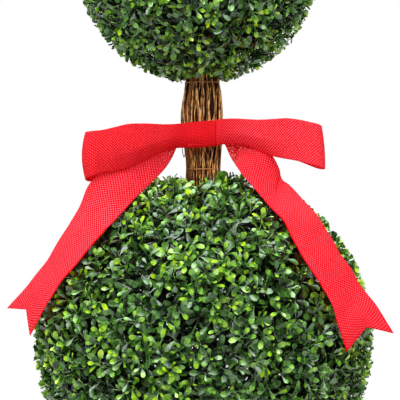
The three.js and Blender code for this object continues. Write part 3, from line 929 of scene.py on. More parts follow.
@dataclass
class Pot:
    """Plain round clay pot and the pebbles that the stem stands in."""

    height: float = 185 * MM
    top_radius: float = 118 * MM
    base_radius: float = 86 * MM
    wall: float = 7 * MM
    floor: float = 9 * MM
    rim_height: float = 30 * MM
    rim_step: float = 6 * MM
    soft_edge: float = 3.5 * MM
    bed_edge: float = 154 * MM
    bed_crown: float = 169 * MM
    gap: float = 0.5 * MM
    pebble: float = 5.4 * MM
    pebble_spacing: float = 6.6 * MM
    pebble_density: float = 60000.0
    pebble_shapes: int = 4
    stem_clear: float = 27 * MM
    seed: int = 12

    def radius(self, height: float) -> float:
        """Return the outer radius of the body at a height."""
        share = height / self.height
        return self.base_radius + (self.top_radius - self.rim_step - self.base_radius) * share

    def inner(self, height: float) -> float:
        """Return the inner radius of the wall at a height."""
        return self.radius(height) - self.wall

    def shell(self) -> Object:
        """Turn the pot, with soft edges on its rim and foot."""
        rim_foot = self.height - self.rim_height
        corners = [
            (0, 0, 0),
            (self.base_radius, 0, 2.5 * MM),
            (self.radius(rim_foot), rim_foot, 1.5 * MM),
            (self.top_radius, rim_foot, self.soft_edge),
            (self.top_radius, self.height, self.soft_edge),
            (self.inner(self.height), self.height, 3 * MM),
            (self.inner(rim_foot), rim_foot, 1 * MM),
            (self.inner(self.floor), self.floor, self.soft_edge),
            (0, self.floor, 0),
        ]
        return Lathe(rounded(corners)).piece("clay_pot", CLAY_FINISH)

    def bed(self) -> Object:
        """Turn the dark bed under the pebbles."""
        low = self.floor + self.gap
        edge = self.inner(self.bed_edge) - self.gap
        profile = [(0, low), (self.inner(low) - self.gap, low), (edge, self.bed_edge)]
        for share in (0.9, 0.75, 0.6, 0.45, 0.3, 0.15):
            rise = (self.bed_crown - self.bed_edge) * (1 - share**2)
            profile.append((edge * share, self.bed_edge + rise))
        profile.append((0, self.bed_crown))
        return Lathe(profile, 64).piece("pebble_bed", BED_FINISH)

    def stone(self, number: int, rng: np.random.Generator) -> Mesh:
        """Make one pebble shape of 48 triangles, from a cube's skin pushed out to a worn round.

        Args:
            number: The shape's number.
            rng: The pebbles' random numbers.

        Returns:
            The shape's mesh, of about unit radius.
        """
        spots = [spot for spot in product((-1.0, 0.0, 1.0), repeat=3) if max(map(abs, spot)) == 1]
        place = {spot: index for index, spot in enumerate(spots)}
        faces: list[list[int]] = []
        for axis, side, *start in product(range(3), (-1.0, 1.0), (-1.0, 0.0), (-1.0, 0.0)):
            corners = []
            for step in ((0, 0), (1, 0), (1, 1), (0, 1)):
                spot = [0.0, 0.0, 0.0]
                spot[axis] = side
                spot[(axis + 1) % 3] = start[0] + step[0]
                spot[(axis + 2) % 3] = start[1] + step[1]
                corners.append(place[tuple(spot)])
            faces.append(corners if side > 0 else corners[::-1])
        points = unit(np.array(spots)) * (1 + rng.uniform(-0.12, 0.12, (len(spots), 1)))
        points *= np.array([1.0, rng.uniform(0.72, 0.9), rng.uniform(0.5, 0.68)])
        return mesh_from(f"pebble_shape_{number}", points, faces=faces)

    def scatter(self) -> Rule:
        """Write the rule that strews pebbles over the top of the bed."""
        rule = Rule("pebble_scatter")
        spacing, size, clear, brim = rule.given("Spacing", "Size", "Clear", "Brim")
        [seed] = rule.given("Seed", kind="Int")
        out, height = rule.position()
        strewn = rule.out(
            "GeometryNodeDistributePointsOnFaces",
            {
                "Mesh": rule.geometry(), "Distance Min": spacing,
                "Density Max": self.pebble_density, "Seed": seed,
            },
            output="Points", distribute_method="POISSON",
        )
        within = rule.times(
            rule.maths("GREATER_THAN", out, clear), rule.maths("LESS_THAN", out, brim)
        )
        above = rule.maths("GREATER_THAN", height, self.bed_edge - 1 * MM)
        outside = rule.maths("SUBTRACT", 1.0, rule.times(within, above))
        points = rule.out(
            "GeometryNodeDeleteGeometry", {"Geometry": strewn, "Selection": outside},
            domain="POINT",
        )
        number = rule.out("GeometryNodeInputIndex")
        turn = rule.chance((-0.5, -0.5, 0.0), (0.5, 0.5, 6.28), number, seed, "FLOAT_VECTOR")
        placed = rule.out(
            "GeometryNodeInstanceOnPoints",
            {
                "Points": points, "Instance": rule.shapes(), "Pick Instance": True,
                "Rotation": rule.out("FunctionNodeEulerToRotation", {"Euler": turn}),
                "Scale": rule.times(size, rule.chance(0.72, 1.25, number, 5)),
            },
        )
        shade = rule.chance(0, len(PEBBLE_FINISHES) - 1, number, 9, "INT")
        rule.close(rule.shaded(placed, shade, "INSTANCE"), PEBBLE_FINISHES)
        return rule

    def pebbles(self, bed: Object) -> Object:
        """Strew the pebbles over the bed.

        Args:
            bed: The finished bed.

        Returns:
            All the pebbles as one piece.
        """
        rng = np.random.default_rng(self.seed)
        stones = [self.stone(number, rng) for number in range(self.pebble_shapes)]
        shapes = shape_collection("pebble_shapes", stones)
        piece = self.scatter().make(
            "pebbles", bed.data.copy(), Spacing=self.pebble_spacing, Size=self.pebble,
            Clear=self.stem_clear, Brim=self.inner(self.bed_edge) - self.pebble * 1.3,
            Shapes=shapes, Seed=self.seed,
        )
        drop_collection(shapes)
        return piece

    def build(self) -> None:
        """Make and seat the pot, its bed and its pebbles."""
        seat(self.shell(), Slot.CLAY, "pot")
        bed = self.bed()
        seat(self.pebbles(bed), Slot.GRAVEL)
        seat(bed, Slot.GRAVEL, "pot_filling")


@dataclass(frozen=True)
class TwigLayer:
    """One layer of a twig bundle, with its lengths in millimetres.

    Ragged is how far the twigs' ends fall short, and slant how far round the stem they lean.
    Darkest moves their shades towards the darkest bark; the inner layer is all darkest bark,
    painted shade inside the bundle.
    """

    suffix: str
    inset: float
    girth: float
    ragged: float
    wander: float
    slant: float
    darkest: float
    twigs: int
    sides: int
    seed_step: int


TWIG_LAYERS = (
    TwigLayer("", 1.6, 0.6, 34, 1.2, 0.6, 0.0, twigs=68, sides=7, seed_step=0),
    # The inner layer is all dark bark: painted shade between the outer twigs.
    TwigLayer("_inner", 4.8, 1.8, 8, 0.8, 0.4, 2.0, twigs=48, sides=6, seed_step=40),
    TwigLayer("_strays", 0.7, 0.66, 60, 1.6, 1.5, -0.5, twigs=40, sides=6, seed_step=80),
)


@dataclass
class TwigBundle:
    """Thin twigs tied round the pole between two heights."""

    name: str
    node: str
    low: float
    high: float
    ties: tuple[float, float]
    seed: int
    tie_radius: float = 19.5 * MM
    bulge: float = 4.4 * MM
    bulge_skew: float = 1.25
    bulge_round: float = 1.3
    flare: float = 0.07
    sag: float = -1.2 * MM
    shift: float = 0.4 * MM
    steps: int = 26

    def arch(self, rule: Rule, height: Socket, tie_low: Socket, tie_high: Socket) -> Socket:
        """Shape the bundle's bulge between its ties.

        Args:
            rule: The bundle's rule.
            height: The height along a twig.
            tie_low: The lower tie's height.
            tie_high: The upper tie's height.

        Returns:
            How full the bundle is there, from 0 at both ties to 1 between them.
        """
        span = rule.maths("SUBTRACT", tie_high, tie_low)
        share = rule.maths("DIVIDE", rule.maths("SUBTRACT", height, tie_low), span)
        share = rule.maths("MINIMUM", rule.maths("MAXIMUM", share, 0.0), 1.0)
        skewed = rule.times(rule.maths("POWER", share, self.bulge_skew), math.pi)
        wave = rule.maths("MAXIMUM", rule.maths("SINE", skewed), 0.0)
        return rule.maths("POWER", wave, self.bulge_round)

    def rule(self) -> Rule:
        """Write the rule that every layer of twigs follows."""
        rule = Rule(f"{self.name}_rule")
        low, high, tie_low, tie_high = rule.given("Low", "High", "Tie Low", "Tie High")
        tie_radius, bulge, flare, sag = rule.given("Tie Radius", "Bulge", "Flare", "Sag")
        inset, girth, ragged = rule.given("Inset", "Girth", "Ragged")
        wander, slant, darkest = rule.given("Wander", "Slant", "Darkest")
        count, sides, seed = rule.given("Twigs", "Sides", "Seed", kind="Int")

        line = rule.out("GeometryNodeCurvePrimitiveLine", {"End": (0.0, 0.0, 1.0)})
        line = rule.out("GeometryNodeResampleCurve", {"Curve": line, "Count": self.steps})
        copies = rule.add(
            "GeometryNodeDuplicateElements", {"Geometry": line, "Amount": count}, domain="SPLINE"
        )
        twig = copies.outputs["Duplicate Index"]
        along = rule.out("GeometryNodeSplineParameter", output="Factor")
        from_middle = rule.maths("SUBTRACT", along, 0.5)

        def drawn(least: float, most: float, turn: int) -> Socket:
            """Return one random number for each twig."""
            return rule.chance(least, most, twig, rule.maths("ADD", seed, turn))

        def drift(turn: float, pace: float) -> Socket:
            """Return a slow wander along each twig, about zero."""
            spot = rule.joined(
                rule.times(twig, 3.71), rule.times(along, pace), rule.maths("ADD", seed, turn)
            )
            return rule.maths("SUBTRACT", rule.noise(spot, 1.0, 1.0), 0.5)

        start = rule.maths("MULTIPLY_ADD", rule.maths("POWER", drawn(0, 1, 1), 3), ragged, low)
        short = rule.times(rule.maths("POWER", drawn(0, 1, 2), 3), ragged)
        height = rule.mix(along, start, rule.maths("SUBTRACT", high, short))
        arch = self.arch(rule, height, tie_low, tie_high)
        past = rule.maths(
            "ADD",
            rule.maths("MAXIMUM", rule.maths("SUBTRACT", tie_low, height), 0.0),
            rule.maths("MAXIMUM", rule.maths("SUBTRACT", height, tie_high), 0.0),
        )
        full = rule.maths("ADD", tie_radius, rule.times(bulge, arch))
        outline = rule.maths("MULTIPLY_ADD", past, flare, full)

        radius = rule.maths("SUBTRACT", outline, rule.times(inset, drawn(0.85, 1.3, 3)))
        radius = rule.maths("MULTIPLY_ADD", drift(0.3, 5.0), rule.times(wander, 1.4), radius)
        radius = rule.maths("MINIMUM", radius, rule.maths("SUBTRACT", outline, girth))
        turn = rule.maths("DIVIDE", rule.maths("ADD", twig, drawn(-0.3, 0.3, 4)), count)
        leaning = rule.times(from_middle, drawn(-1, 1, 5))
        angle = rule.maths("MULTIPLY_ADD", leaning, slant, rule.times(turn, 2 * math.pi))
        sideways = rule.maths("DIVIDE", rule.times(wander, 5.0), tie_radius)
        angle = rule.maths("MULTIPLY_ADD", drift(7.7, 3.5), sideways, angle)
        swerve = rule.maths("MULTIPLY_ADD", sag, rule.times(arch, arch), self.shift)
        spot = rule.joined(
            rule.maths("MULTIPLY_ADD", radius, rule.maths("COSINE", angle), swerve),
            rule.times(radius, rule.maths("SINE", angle)),
            height,
        )
        placed = rule.out(
            "GeometryNodeSetPosition", {"Geometry": copies.outputs["Geometry"], "Position": spot}
        )

        shade = rule.maths("FLOOR", rule.maths("ADD", drawn(0, 2.6, 6), darkest))
        shade = rule.maths("MINIMUM", shade, float(len(BARK_FINISHES) - 1))
        placed = rule.shaded(placed, rule.maths("MAXIMUM", shade, 0.0))
        taper = rule.maths("MULTIPLY_ADD", from_middle, drawn(-0.5, 0.5, 7), 1.0)
        thick = rule.times(taper, girth, drawn(0.62, 1.2, 8))
        knobs = rule.maths("MULTIPLY_ADD", drift(3.1, 24.0), 0.9, 1.0)
        rule.close(rule.tube(placed, sides, rule.times(thick, knobs)), BARK_FINISHES)
        return rule

    def build(self) -> None:
        """Make each layer and seat it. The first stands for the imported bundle."""
        rule = self.rule()
        for layer in TWIG_LAYERS:
            piece = rule.make(
                self.name + layer.suffix, turn=TREE_TURN,
                Low=self.low, High=self.high, Tie_Low=self.ties[0], Tie_High=self.ties[1],
                Tie_Radius=self.tie_radius, Bulge=self.bulge, Flare=self.flare, Sag=self.sag,
                Inset=layer.inset * MM, Girth=layer.girth * MM, Ragged=layer.ragged * MM,
                Wander=layer.wander * MM, Slant=layer.slant, Darkest=layer.darkest,
                Twigs=layer.twigs, Sides=layer.sides, Seed=self.seed + layer.seed_step,
            )
            nodes = [] if layer.suffix else [self.node]
            seat(piece, Slot.TWIGS, *nodes)


@dataclass(frozen=True)
class Winding:
    """A wire wound round the stem: its own radius and wire, its turns and its rise."""

    radius: float
    wire: float
    turns: float
    pitch: float


@dataclass
class TieWires:
    """Wires wound round the twig bundles, and the bow's own wire with its loop.

    Slip and bow slip are how far under its packed height each winding starts. The two wire
    ends are given in millimetres.
    """

    heights: dict[str, float]
    tie: Winding = Winding(18.9 * MM, 0.7 * MM, 1.04, 0.4 * MM)
    slip: float = 1.2 * MM
    bow_node: str = "bow_tie_wire"
    bow_tie: Winding = Winding(24.6 * MM, 0.6 * MM, 2.0, 1.6 * MM)
    bow_slip: float = 0.8 * MM
    sides: int = 8
    end_wire: float = 0.45 * MM
    end_sides: int = 6
    hanging: tuple[Place, ...] = (
        (-23.2, -6.5, 701), (-23.4, -8, 694), (-23.0, -8.5, 688), (-22.4, -8.8, 682),
        (-21.2, -9, 677.8), (-20.0, -9, 680.5), (-20.2, -9, 686), (-20.9, -8.8, 692),
        (-22.2, -8, 699),
    )
    standing: tuple[Place, ...] = (
        (-23.4, -7.5, 703), (-23.5, -8.5, 710), (-22.8, -10, 717), (-21.8, -10.5, 723.5),
    )

    def rule(self, finish: Finish) -> Rule:
        """Write the rule of a wire wound round the stem.

        Args:
            finish: The wire's finish.

        Returns:
            The rule.
        """
        rule = Rule(f"{finish.name}_winding")
        radius, wire, turns, pitch, height = rule.given(
            "Radius", "Wire", "Turns", "Pitch", "Height"
        )
        [sides] = rule.given("Sides", kind="Int")
        coil = rule.out(
            "GeometryNodeCurveSpiral",
            {
                "Resolution": 40, "Rotations": turns, "Start Radius": radius,
                "End Radius": radius, "Height": pitch,
            },
        )
        lifted = {"Geometry": coil, "Offset": rule.joined(z=height)}
        coil = rule.shaded(rule.out("GeometryNodeSetPosition", lifted), 0)
        rule.close(rule.tube(coil, sides, wire), [finish])
        return rule

    def end_rule(self, finish: Finish) -> Rule:
        """Write the rule of a wire end that follows a drawn line.

        Args:
            finish: The wire's finish.

        Returns:
            The rule.
        """
        rule = Rule(f"{finish.name}_end")
        [wire] = rule.given("Wire")
        [sides] = rule.given("Sides", kind="Int")
        line = rule.out("GeometryNodeMeshToCurve", {"Mesh": rule.geometry()})
        rule.close(rule.tube(rule.shaded(line, 0), sides, wire), [finish])
        return rule

    def build(self) -> None:
        """Wind each wire, bend the bow wire's two ends and seat them all."""
        rules = {finish: self.rule(finish) for finish in (BINDING_WIRE, GREY_WIRE)}
        wound = [
            (node, f"{node}_wire", BINDING_WIRE, self.tie, height - self.slip)
            for node, height in self.heights.items()
        ]
        height = BOW_HEIGHT - self.bow_slip
        wound.append((self.bow_node, "bow_wire", GREY_WIRE, self.bow_tie, height))
        for node, name, finish, winding, height in wound:
            piece = rules[finish].make(
                name, turn=TREE_TURN, Radius=winding.radius, Wire=winding.wire,
                Turns=winding.turns, Pitch=winding.pitch, Height=height, Sides=self.sides,
            )
            seat(piece, Slot.WIRE, node)
        rule = self.end_rule(GREY_WIRE)
        for name, places in (("bow_wire_loop", self.hanging), ("bow_wire_end", self.standing)):
            points = rounded_curve(np.array(places, float), np.linspace(0, 1, 40)) * MM
            piece = rule.make(
                name, line_mesh(f"{name}_line", points[None]), turn=TREE_TURN,
                Wire=self.end_wire, Sides=self.end_sides,
            )
            seat(piece, Slot.WIRE)


@dataclass(frozen=True)
class Station:
    """One place along a ribbon, in millimetres about the bow's middle.

    The ribbon's width runs along across. Its middle stands camber proud of its edges. Its two
    edges are rolled back by roll, as they are where the ribbon is gathered, and the edge that
    across points to is rolled back by under as well.
    """

    at: Place
    across: Place
    width: float
    camber: float = 0.0
    roll: float = 0.0
    under: float = 0.0


def loop_stations(*rows: Sequence[float]) -> list[Station]:
    """Make the stations of a loop, across which the ribbon stands upright.

    Args:
        *rows: For each, its x and y, the heights of the ribbon's two edges, and then, where
            they are needed, its camber, roll and under.

    Returns:
        The stations.
    """
    return [
        Station((x, y, (top + bottom) / 2), (0, 0, -1), top - bottom, *bends)
        for x, y, top, bottom, *bends in rows
    ]


@dataclass(frozen=True)
class Crease:
    """A short fold line in a ribbon.

    It goes from one share of the half width to another over a run along the ribbon, from start
    to end in millimetres. The sheet stands depth proud on it, and falls off over inner towards
    the ribbon's middle and over outer towards its edge. Past its ends it runs out over fade.
    """

    shares: tuple[float, float]
    run: tuple[float, float]
    depth: float
    inner: float
    outer: float
    fade: float = 6.0

    def height(self, share: Array, length: Array) -> Array:
        """Work out the fold.

        Args:
            share: The places across the ribbon, from -1 to 1.
            length: The length run at each step along it.

        Returns:
            How proud the crease holds the sheet, by step and place across.
        """
        start, end = self.run
        place = np.clip((length - start) / (end - start), 0, 1)[:, None]
        line = self.shares[0] + (self.shares[1] - self.shares[0]) * place
        past = (share - line) * math.copysign(1.0, sum(self.shares))
        slope = np.where(past > 0, past / self.outer, -past / self.inner)
        away = np.maximum(start - length, length - end)[:, None]
        swell = np.sin(math.pi * np.clip(place, 0.08, 0.92))
        fade = swell * np.exp(-np.maximum(away, 0) / self.fade)
        return self.depth * fade * np.exp(-slope)


@dataclass(frozen=True)
class Ripple:
    """Gentle waves that run slantwise over a ribbon, in millimetres."""

    height: float
    wave: float
    start: float
    slant: float = 1.2

    def lift(self, share: Array, length: Array) -> Array:
        """Work out the waves.

        Args:
            share: The places across the ribbon, from -1 to 1.
            length: The length run at each step along it.

        Returns:
            How proud they hold the sheet, by step and place across.
        """
        grown = np.clip((length - self.start) / self.wave, 0, 1)[:, None]
        phase = 2 * math.pi * (length - self.start)[:, None] / self.wave
        first = np.sin(phase + self.slant * share)
        second = np.sin(1.7 * phase - 1.6 * self.slant * share + 1.0)
        return self.height * grown * (0.65 * first + 0.35 * second)


def rounded_curve(points: Array, places: Array) -> Array:
    """Run a centripetal Catmull-Rom curve through the points.

    Args:
        points: The points that it passes.
        places: Where it is read, from 0 at the first point to 1 at the last.

    Returns:
        The curve's points at those places.
    """
    padded = np.concatenate([[2 * points[0] - points[1]], points, [2 * points[-1] - points[-2]]])
    spans = len(points) - 1
    span = np.minimum((places * spans).astype(int), spans - 1)
    share = (places * spans - span)[:, None]
    p0, p1, p2, p3 = (padded[span + step] for step in range(4))

    def stride(a: Array, b: Array) -> Array:
        """Return the square root of the distance, which spaces the curve."""
        return np.sqrt(np.linalg.norm(b - a, axis=1))[:, None]

    middle = np.maximum(stride(p1, p2), 1e-4)
    before = np.where(stride(p0, p1) < 1e-4, middle, stride(p0, p1))
    after = np.where(stride(p2, p3) < 1e-4, middle, stride(p2, p3))
    start = ((p1 - p0) / before - (p2 - p0) / (before + middle) + (p2 - p1) / middle) * middle
    end = ((p2 - p1) / middle - (p3 - p1) / (middle + after) + (p3 - p2) / after) * middle
    cubic = 2 * p1 - 2 * p2 + start + end
    square = -3 * p1 + 3 * p2 - 2 * start - end
    return ((cubic * share + square) * share + start) * share + p1


@dataclass
class RibbonStrip:
    """One length of ribbon, run through stations with its width, folds and cut end."""

    name: str
    node: str
    stations: list[Station]
    roll_side: float = 1.0
    roll_round: float = 0.94
    steps: int = 150
    spans: int = 28
    thickness: float = 0.8
    notch: float = 0.0
    notch_at: float = 0.0
    finish: Finish = RIBBON_FINISH
    creases: list[Crease] = field(default_factory=list)
    ripple: Ripple | None = None

    def read(self, key: str, places: Array) -> Array:
        """Read one of the stations' numbers smoothly between them.

        Args:
            key: The number's name.
            places: Where it is read, from 0 at the first station to 1 at the last.

        Returns:
            A column with the number at each place.
        """
        numbers = np.array([getattr(station, key) for station in self.stations], float)
        spot = places * (len(numbers) - 1)
        low = np.minimum(spot.astype(int), len(numbers) - 2)
        share = spot - low
        share = share * share * (3 - 2 * share)
        return (numbers[low] * (1 - share) + numbers[low + 1] * share)[:, None]

    def surface(self) -> tuple[Array, Array, Array]:
        """Work out the ribbon's middle sheet.

        Returns:
            Its points by step and span in millimetres, the sheet's face direction at each, and
            the length run at each step.
        """
        places = np.linspace(0, 1, self.steps + 1)
        middle = rounded_curve(np.array([s.at for s in self.stations], float), places)
        widths = np.array([unit(np.array(s.across, float)) * s.width for s in self.stations])
        across = rounded_curve(widths, places)
        tangent = unit(np.gradient(middle, axis=0))
        face = unit(np.cross(tangent, across))
        share = np.linspace(-1, 1, self.spans + 1)
        length = run_length(middle)
        curl = self.read("roll", places) * (np.sqrt(1 - self.roll_round * share**2) - 1)
        bent = curl - self.read("under", places) * np.maximum(share, 0) ** 2
        proud = self.read("camber", places) * (1 - share**2) + self.roll_side * bent
        for crease in self.creases:
            proud = proud + crease.height(share, length)
        if self.ripple:
            proud = proud + self.ripple.lift(share, length)
        points = middle[:, None] + across[:, None] * share[None, :, None] / 2
        points = points + face[:, None] * proud[..., None]
        if self.notch:
            side = np.where(share > self.notch_at, 1 - self.notch_at, 1 + self.notch_at)
            back = self.notch * (1 - np.abs(share - self.notch_at) / side)
            reach = 3 * self.notch
            run = np.clip((length - (length[-1] - reach)) / reach, 0, 1)[:, None]
            points = points - tangent[:, None] * (back * run)[..., None]
        rows, columns = np.gradient(points, axis=(0, 1))
        return points, unit(np.cross(rows, columns)), length

    def piece(self, origin: Vector) -> Object:
        """Give the sheet its thickness and its weave coordinates.

        Args:
            origin: Where the bow's middle lies, in metres.

        Returns:
            The finished, closed ribbon.
        """
        points, face, length = self.surface()
        rows, columns = points.shape[:2]
        size = rows * columns
        shells = [(points + face * side * self.thickness / 2).reshape(-1, 3) for side in (1, -1)]
        wide = np.linalg.norm(points[:, -1] - points[:, 0], axis=1)[:, None] * MM
        across = RIBBON_WIDTH / 2 + wide * np.linspace(-0.5, 0.5, columns)
        flat = np.stack([across, np.broadcast_to(length[:, None] * MM, across.shape)], -1)
        faces: list[Face] = []
        for row, column in product(range(rows - 1), range(columns - 1)):
            here = row * columns + column
            quad = (here, here + 1, here + 1 + columns, here + columns)
            faces.append(quad[::-1])
            faces.append(tuple(size + corner for corner in quad))
        grid = np.arange(size).reshape(rows, columns)
        sides = (grid[0], grid[1:, -1], grid[-1, -2::-1], grid[-2:0:-1, 0])
        rim = np.concatenate(sides).tolist()
        for here, after in zip(rim, rim[1:] + rim[:1]):
            faces.append((here, after, size + after, size + here))
        spots = np.concatenate(shells) * MM + np.array(origin)
        piece = mesh_piece(self.name, spots, faces, self.finish)
        lay_weave(piece, np.tile(flat.reshape(-1, 2), (2, 1)))
        return piece


@dataclass
class Bow:
    """Ribbon bow: two loops, two tails and the wrap that gathers them on the stem's front.

    Its sizes are in millimetres about its middle.
    """

    knot_left: float = -16.7
    knot_right: float = 14.5
    knot_half_height: float = 13.0
    knot_front: float = -33.89
    knot_back: float = -25.69
    knot_tilt: float = math.radians(4.4)
    knot_corner: float = 2.6
    corner_steps: int = 8
    wrap_thickness: float = 1.2
    wrap_waist: float = 0.5
    wrap_spans: int = 16
    pinch: float = 18.0
    run_out: float = 2.5
    deep_layer: float = -28.09
    near_layer: float = -29.79
    seam: float = 14.4
    seam_gap: float = 0.7
    cover: float = -36.9

    def origin(self) -> Vector:
        """Return where the bow's middle lies on the leaning stem, in metres."""
        return TREE_TURN @ Vector((0, 0, BOW_HEIGHT))

    def knot_line(self, x: float) -> float:
        """Return the height of the gathered middle at x."""
        return x * math.tan(self.knot_tilt)

    def run(self, layer: float, end: float) -> list[Station]:
        """Lay one gathered layer inside the wrap.

        Args:
            layer: How deep it lies.
            end: The wrap's end that it comes out of.

        Returns:
            The stations from the wrap's middle to just past that end.
        """
        side = math.copysign(1.0, end)
        return loop_stations(*(
            (x, layer, self.knot_line(x) + self.pinch / 2, self.knot_line(x) - self.pinch / 2)
            for x in (0.15 * side, end / 2, end, end + self.run_out * side)
        ))

    def left_loop(self) -> RibbonStrip:
        """Return the left loop, whose front runs on over the wrap to its right end."""
        start = self.seam - self.seam_gap / 2
        stations = [
            *loop_stations(
                (start, self.cover, 15.1, -12.9, 0, 3.5, 3.0),
                (start - 4, self.cover - 0.1, 14.8, -13.1, 0, 4.0, 3.5),
                (3.6, self.cover - 0.1, 14.3, -13.8, 0, 4.5, 4.0),
                (-5.2, self.cover - 0.2, 13.7, -14.4, 0, 5.0, 4.5),
                (-14.0, self.cover - 0.5, 12.6, -14.6, 0, 5.0, 5.0),
                (-22.7, -40, 11.3, -14.9, 0, 4.5, 5.0),
                (-29.2, -43.5, 10.6, -16.0, 0.5, 4.0, 5.5),
                (-41, -49.5, 9.9, -20.2, 1, 3.5, 6.0),
                (-62.5, -60, 10.4, -30.6, 2, 2.0, 6.5),
                (-83, -68.5, 8.9, -39.2, 3, 0.5, 4.0),
                (-106, -75, 3.0, -43.0, 3, 0, 1.0),
                (-118.7, -77.5, 1.4, -47.0, 3.2),
                (-125.8, -70, 0.5, -50.2, 3.8),
                (-121.5, -62, 0.5, -52.4, 2),
                (-105, -56, 3, -49),
                (-80, -45, 7, -36),
                (-50, -31, 8.5, -20),
            ),
            *reversed(self.run(self.deep_layer, self.knot_left)),
        ]
        return RibbonStrip(
            "ribbon_left_loop", "bow_left_loop", stations, steps=240,
            creases=[Crease((0.1, 0.3), (45, 120), 1.8, inner=0.5, outer=0.4)],
        )

    def right_loop(self) -> RibbonStrip:
        """Return the right loop, whose front starts in the seam beside the left one's end."""
        start = self.seam + self.seam_gap / 2
        stations = [
            *loop_stations(
                (start, self.cover, 15.6, -12.4, 0, 3.0, 3.0),
                (start + 3.5, self.cover - 0.2, 16.1, -11.3, 0, 3.0, 3.5),
                (26.5, -42.5, 16.5, -10.4, 0, 3.0, 5.0),
                (40.6, -50, 16.0, -11.3, 1, 3.0, 6.5),
                (50.3, -54.5, 15.2, -14.9, 1, 2.5, 8.0),
                (60, -59, 14.6, -19.3, 1, 2.0, 8.0),
                (75, -65.5, 15.0, -25.3, 1, 1.2, 6.0),
                (90.5, -71, 15.6, -28.4, 1, 0.5, 3.5),
                (104, -74, 13.7, -31.1, 1, 0, 1.5),
                (115, -75.5, 11.2, -34.0, 0.5),
            ),
            Station((124, -76, -13.9), (0.05, 0, -1), 46.2, -0.5),
            Station((129.3, -69, -16.0), (0.081, 0, -1), 46.2, -1.2),
            Station((124.5, -62, -15.8), (0.05, 0, -1), 46.2, -1),
            *loop_stations((103, -54, 12, -30), (78, -42, 14, -21), (50, -30.5, 14, -12)),
            *reversed(self.run(self.deep_layer, self.knot_right)),
        ]
        return RibbonStrip(
            "ribbon_right_loop", "bow_right_loop", stations, roll_side=-1.0, steps=240,
            finish=LIT_RIBBON_FINISH,
            creases=[Crease((0.2, 0.1), (15, 90), -1.4, inner=0.5, outer=0.4)],
        )

    def left_tail(self) -> RibbonStrip:
        """Return the left tail, which lies out over the large ball."""
        stations = [
            *self.run(self.near_layer, self.knot_left),
            Station((-30.1, -30.1, -2.2), (0.318, 0.01, -0.948), 20.8),
            Station((-41.1, -33.5, -11.8), (0.46, 0.03, -0.89), 32),
            Station((-65.3, -49.5, -33.1), (0.83, 0.36, -0.43), 47),
            Station((-100.0, -72.5, -65.8), (0.83, -0.02, -0.56), 47.7, 1),
            Station((-118.0, -82.5, -93.0), (0.63, -0.65, -0.42), 50.5, 2),
            Station((-142.1, -88.5, -126.1), (0.52, -0.80, -0.31), 51, 2),
            Station((-172.1, -78.5, -166.9), (0.46, -0.82, -0.34), 50, 1.5),
            Station((-187.6, -69.5, -187.5), (0.57, -0.74, -0.36), 50, 1),
            Station((-199.2, -60.0, -203.9), (0.59, -0.60, -0.55), 49.8),
        ]
        creases = [Crease((-0.1, 0.35), (88, 150), 1.6, inner=0.35, outer=0.3)]
        return RibbonStrip(
            "ribbon_left_tail", "bow_left_tail", stations, notch=18.5,
            finish=LOOSE_RIBBON_FINISH, creases=creases, ripple=Ripple(1.2, 74, 90),
        )

    def right_tail(self) -> RibbonStrip:
        """Return the right tail, which is creased where it bends down over the large ball."""
        stations = [
            *self.run(self.near_layer, self.knot_right),
            Station((28.15, -30.0, 0.6), (-0.444, 0, -0.896), 23.4),
            Station((39.4, -32.0, -12.6), (-0.60, 0, -0.80), 30.2),
            Station((56.4, -54.0, -30.9), (-0.83, -0.16, -0.53), 39.2),
            Station((65.5, -58.5, -44.6), (-0.84, -0.45, -0.30), 42.2),
            Station((69.2, -61.0, -51.5), (-0.75, -0.60, -0.28), 43),
            Station((74.1, -64.5, -57.5), (-0.67, -0.66, -0.34), 43.9),
            Station((81.4, -71.0, -66.4), (-0.47, -0.77, -0.43), 51),
            Station((99.2, -90.0, -87.0), (-0.56, -0.75, -0.35), 51, -1),
            Station((119.8, -111.0, -121.9), (-0.67, -0.67, -0.32), 51, -2),
            Station((130.8, -115.8, -140.9), (-0.68, -0.66, -0.32), 51, -2),
            Station((144.5, -119.0, -161.8), (-0.59, -0.71, -0.39), 49, -1),
            Station((158.9, -124.0, -189.2), (-0.83, -0.41, -0.37), 50),
            Station((173.5, -126.0, -220.1), (-0.93, -0.12, -0.35), 52.5),
        ]
        creases = [Crease((-1.05, 0.15), (102, 130), 5.5, inner=0.22, outer=0.6)]
        return RibbonStrip(
            "ribbon_right_tail", "bow_right_tail", stations, notch=16.0, notch_at=-0.15,
            # A copy with less painted highlight: painted shade down the right tail.
            finish=replace(LOOSE_RIBBON_FINISH, name="ribbon_red_dull_weave", painted_highlight=0.72),
            creases=creases, ripple=Ripple(1.9, 66, 120),
        )

    def section(self) -> Array:
        """Return the depth and height of the wrap's section, with its corners rounded."""
        back, front = self.knot_back - self.knot_corner, self.knot_front + self.knot_corner
        top = self.knot_half_height - self.knot_corner
        corners = ((back, -top, -90), (back, top, 0), (front, top, 90), (front, -top, 180))
        outline: Profile = []
        for (depth, rise, start), step in product(corners, range(self.corner_steps + 1)):
            angle = math.radians(start + 90 * step / self.corner_steps)
            outline.append((
                depth + self.knot_corner * math.cos(angle),
                rise + self.knot_corner * math.sin(angle),
            ))
        return np.array(outline)

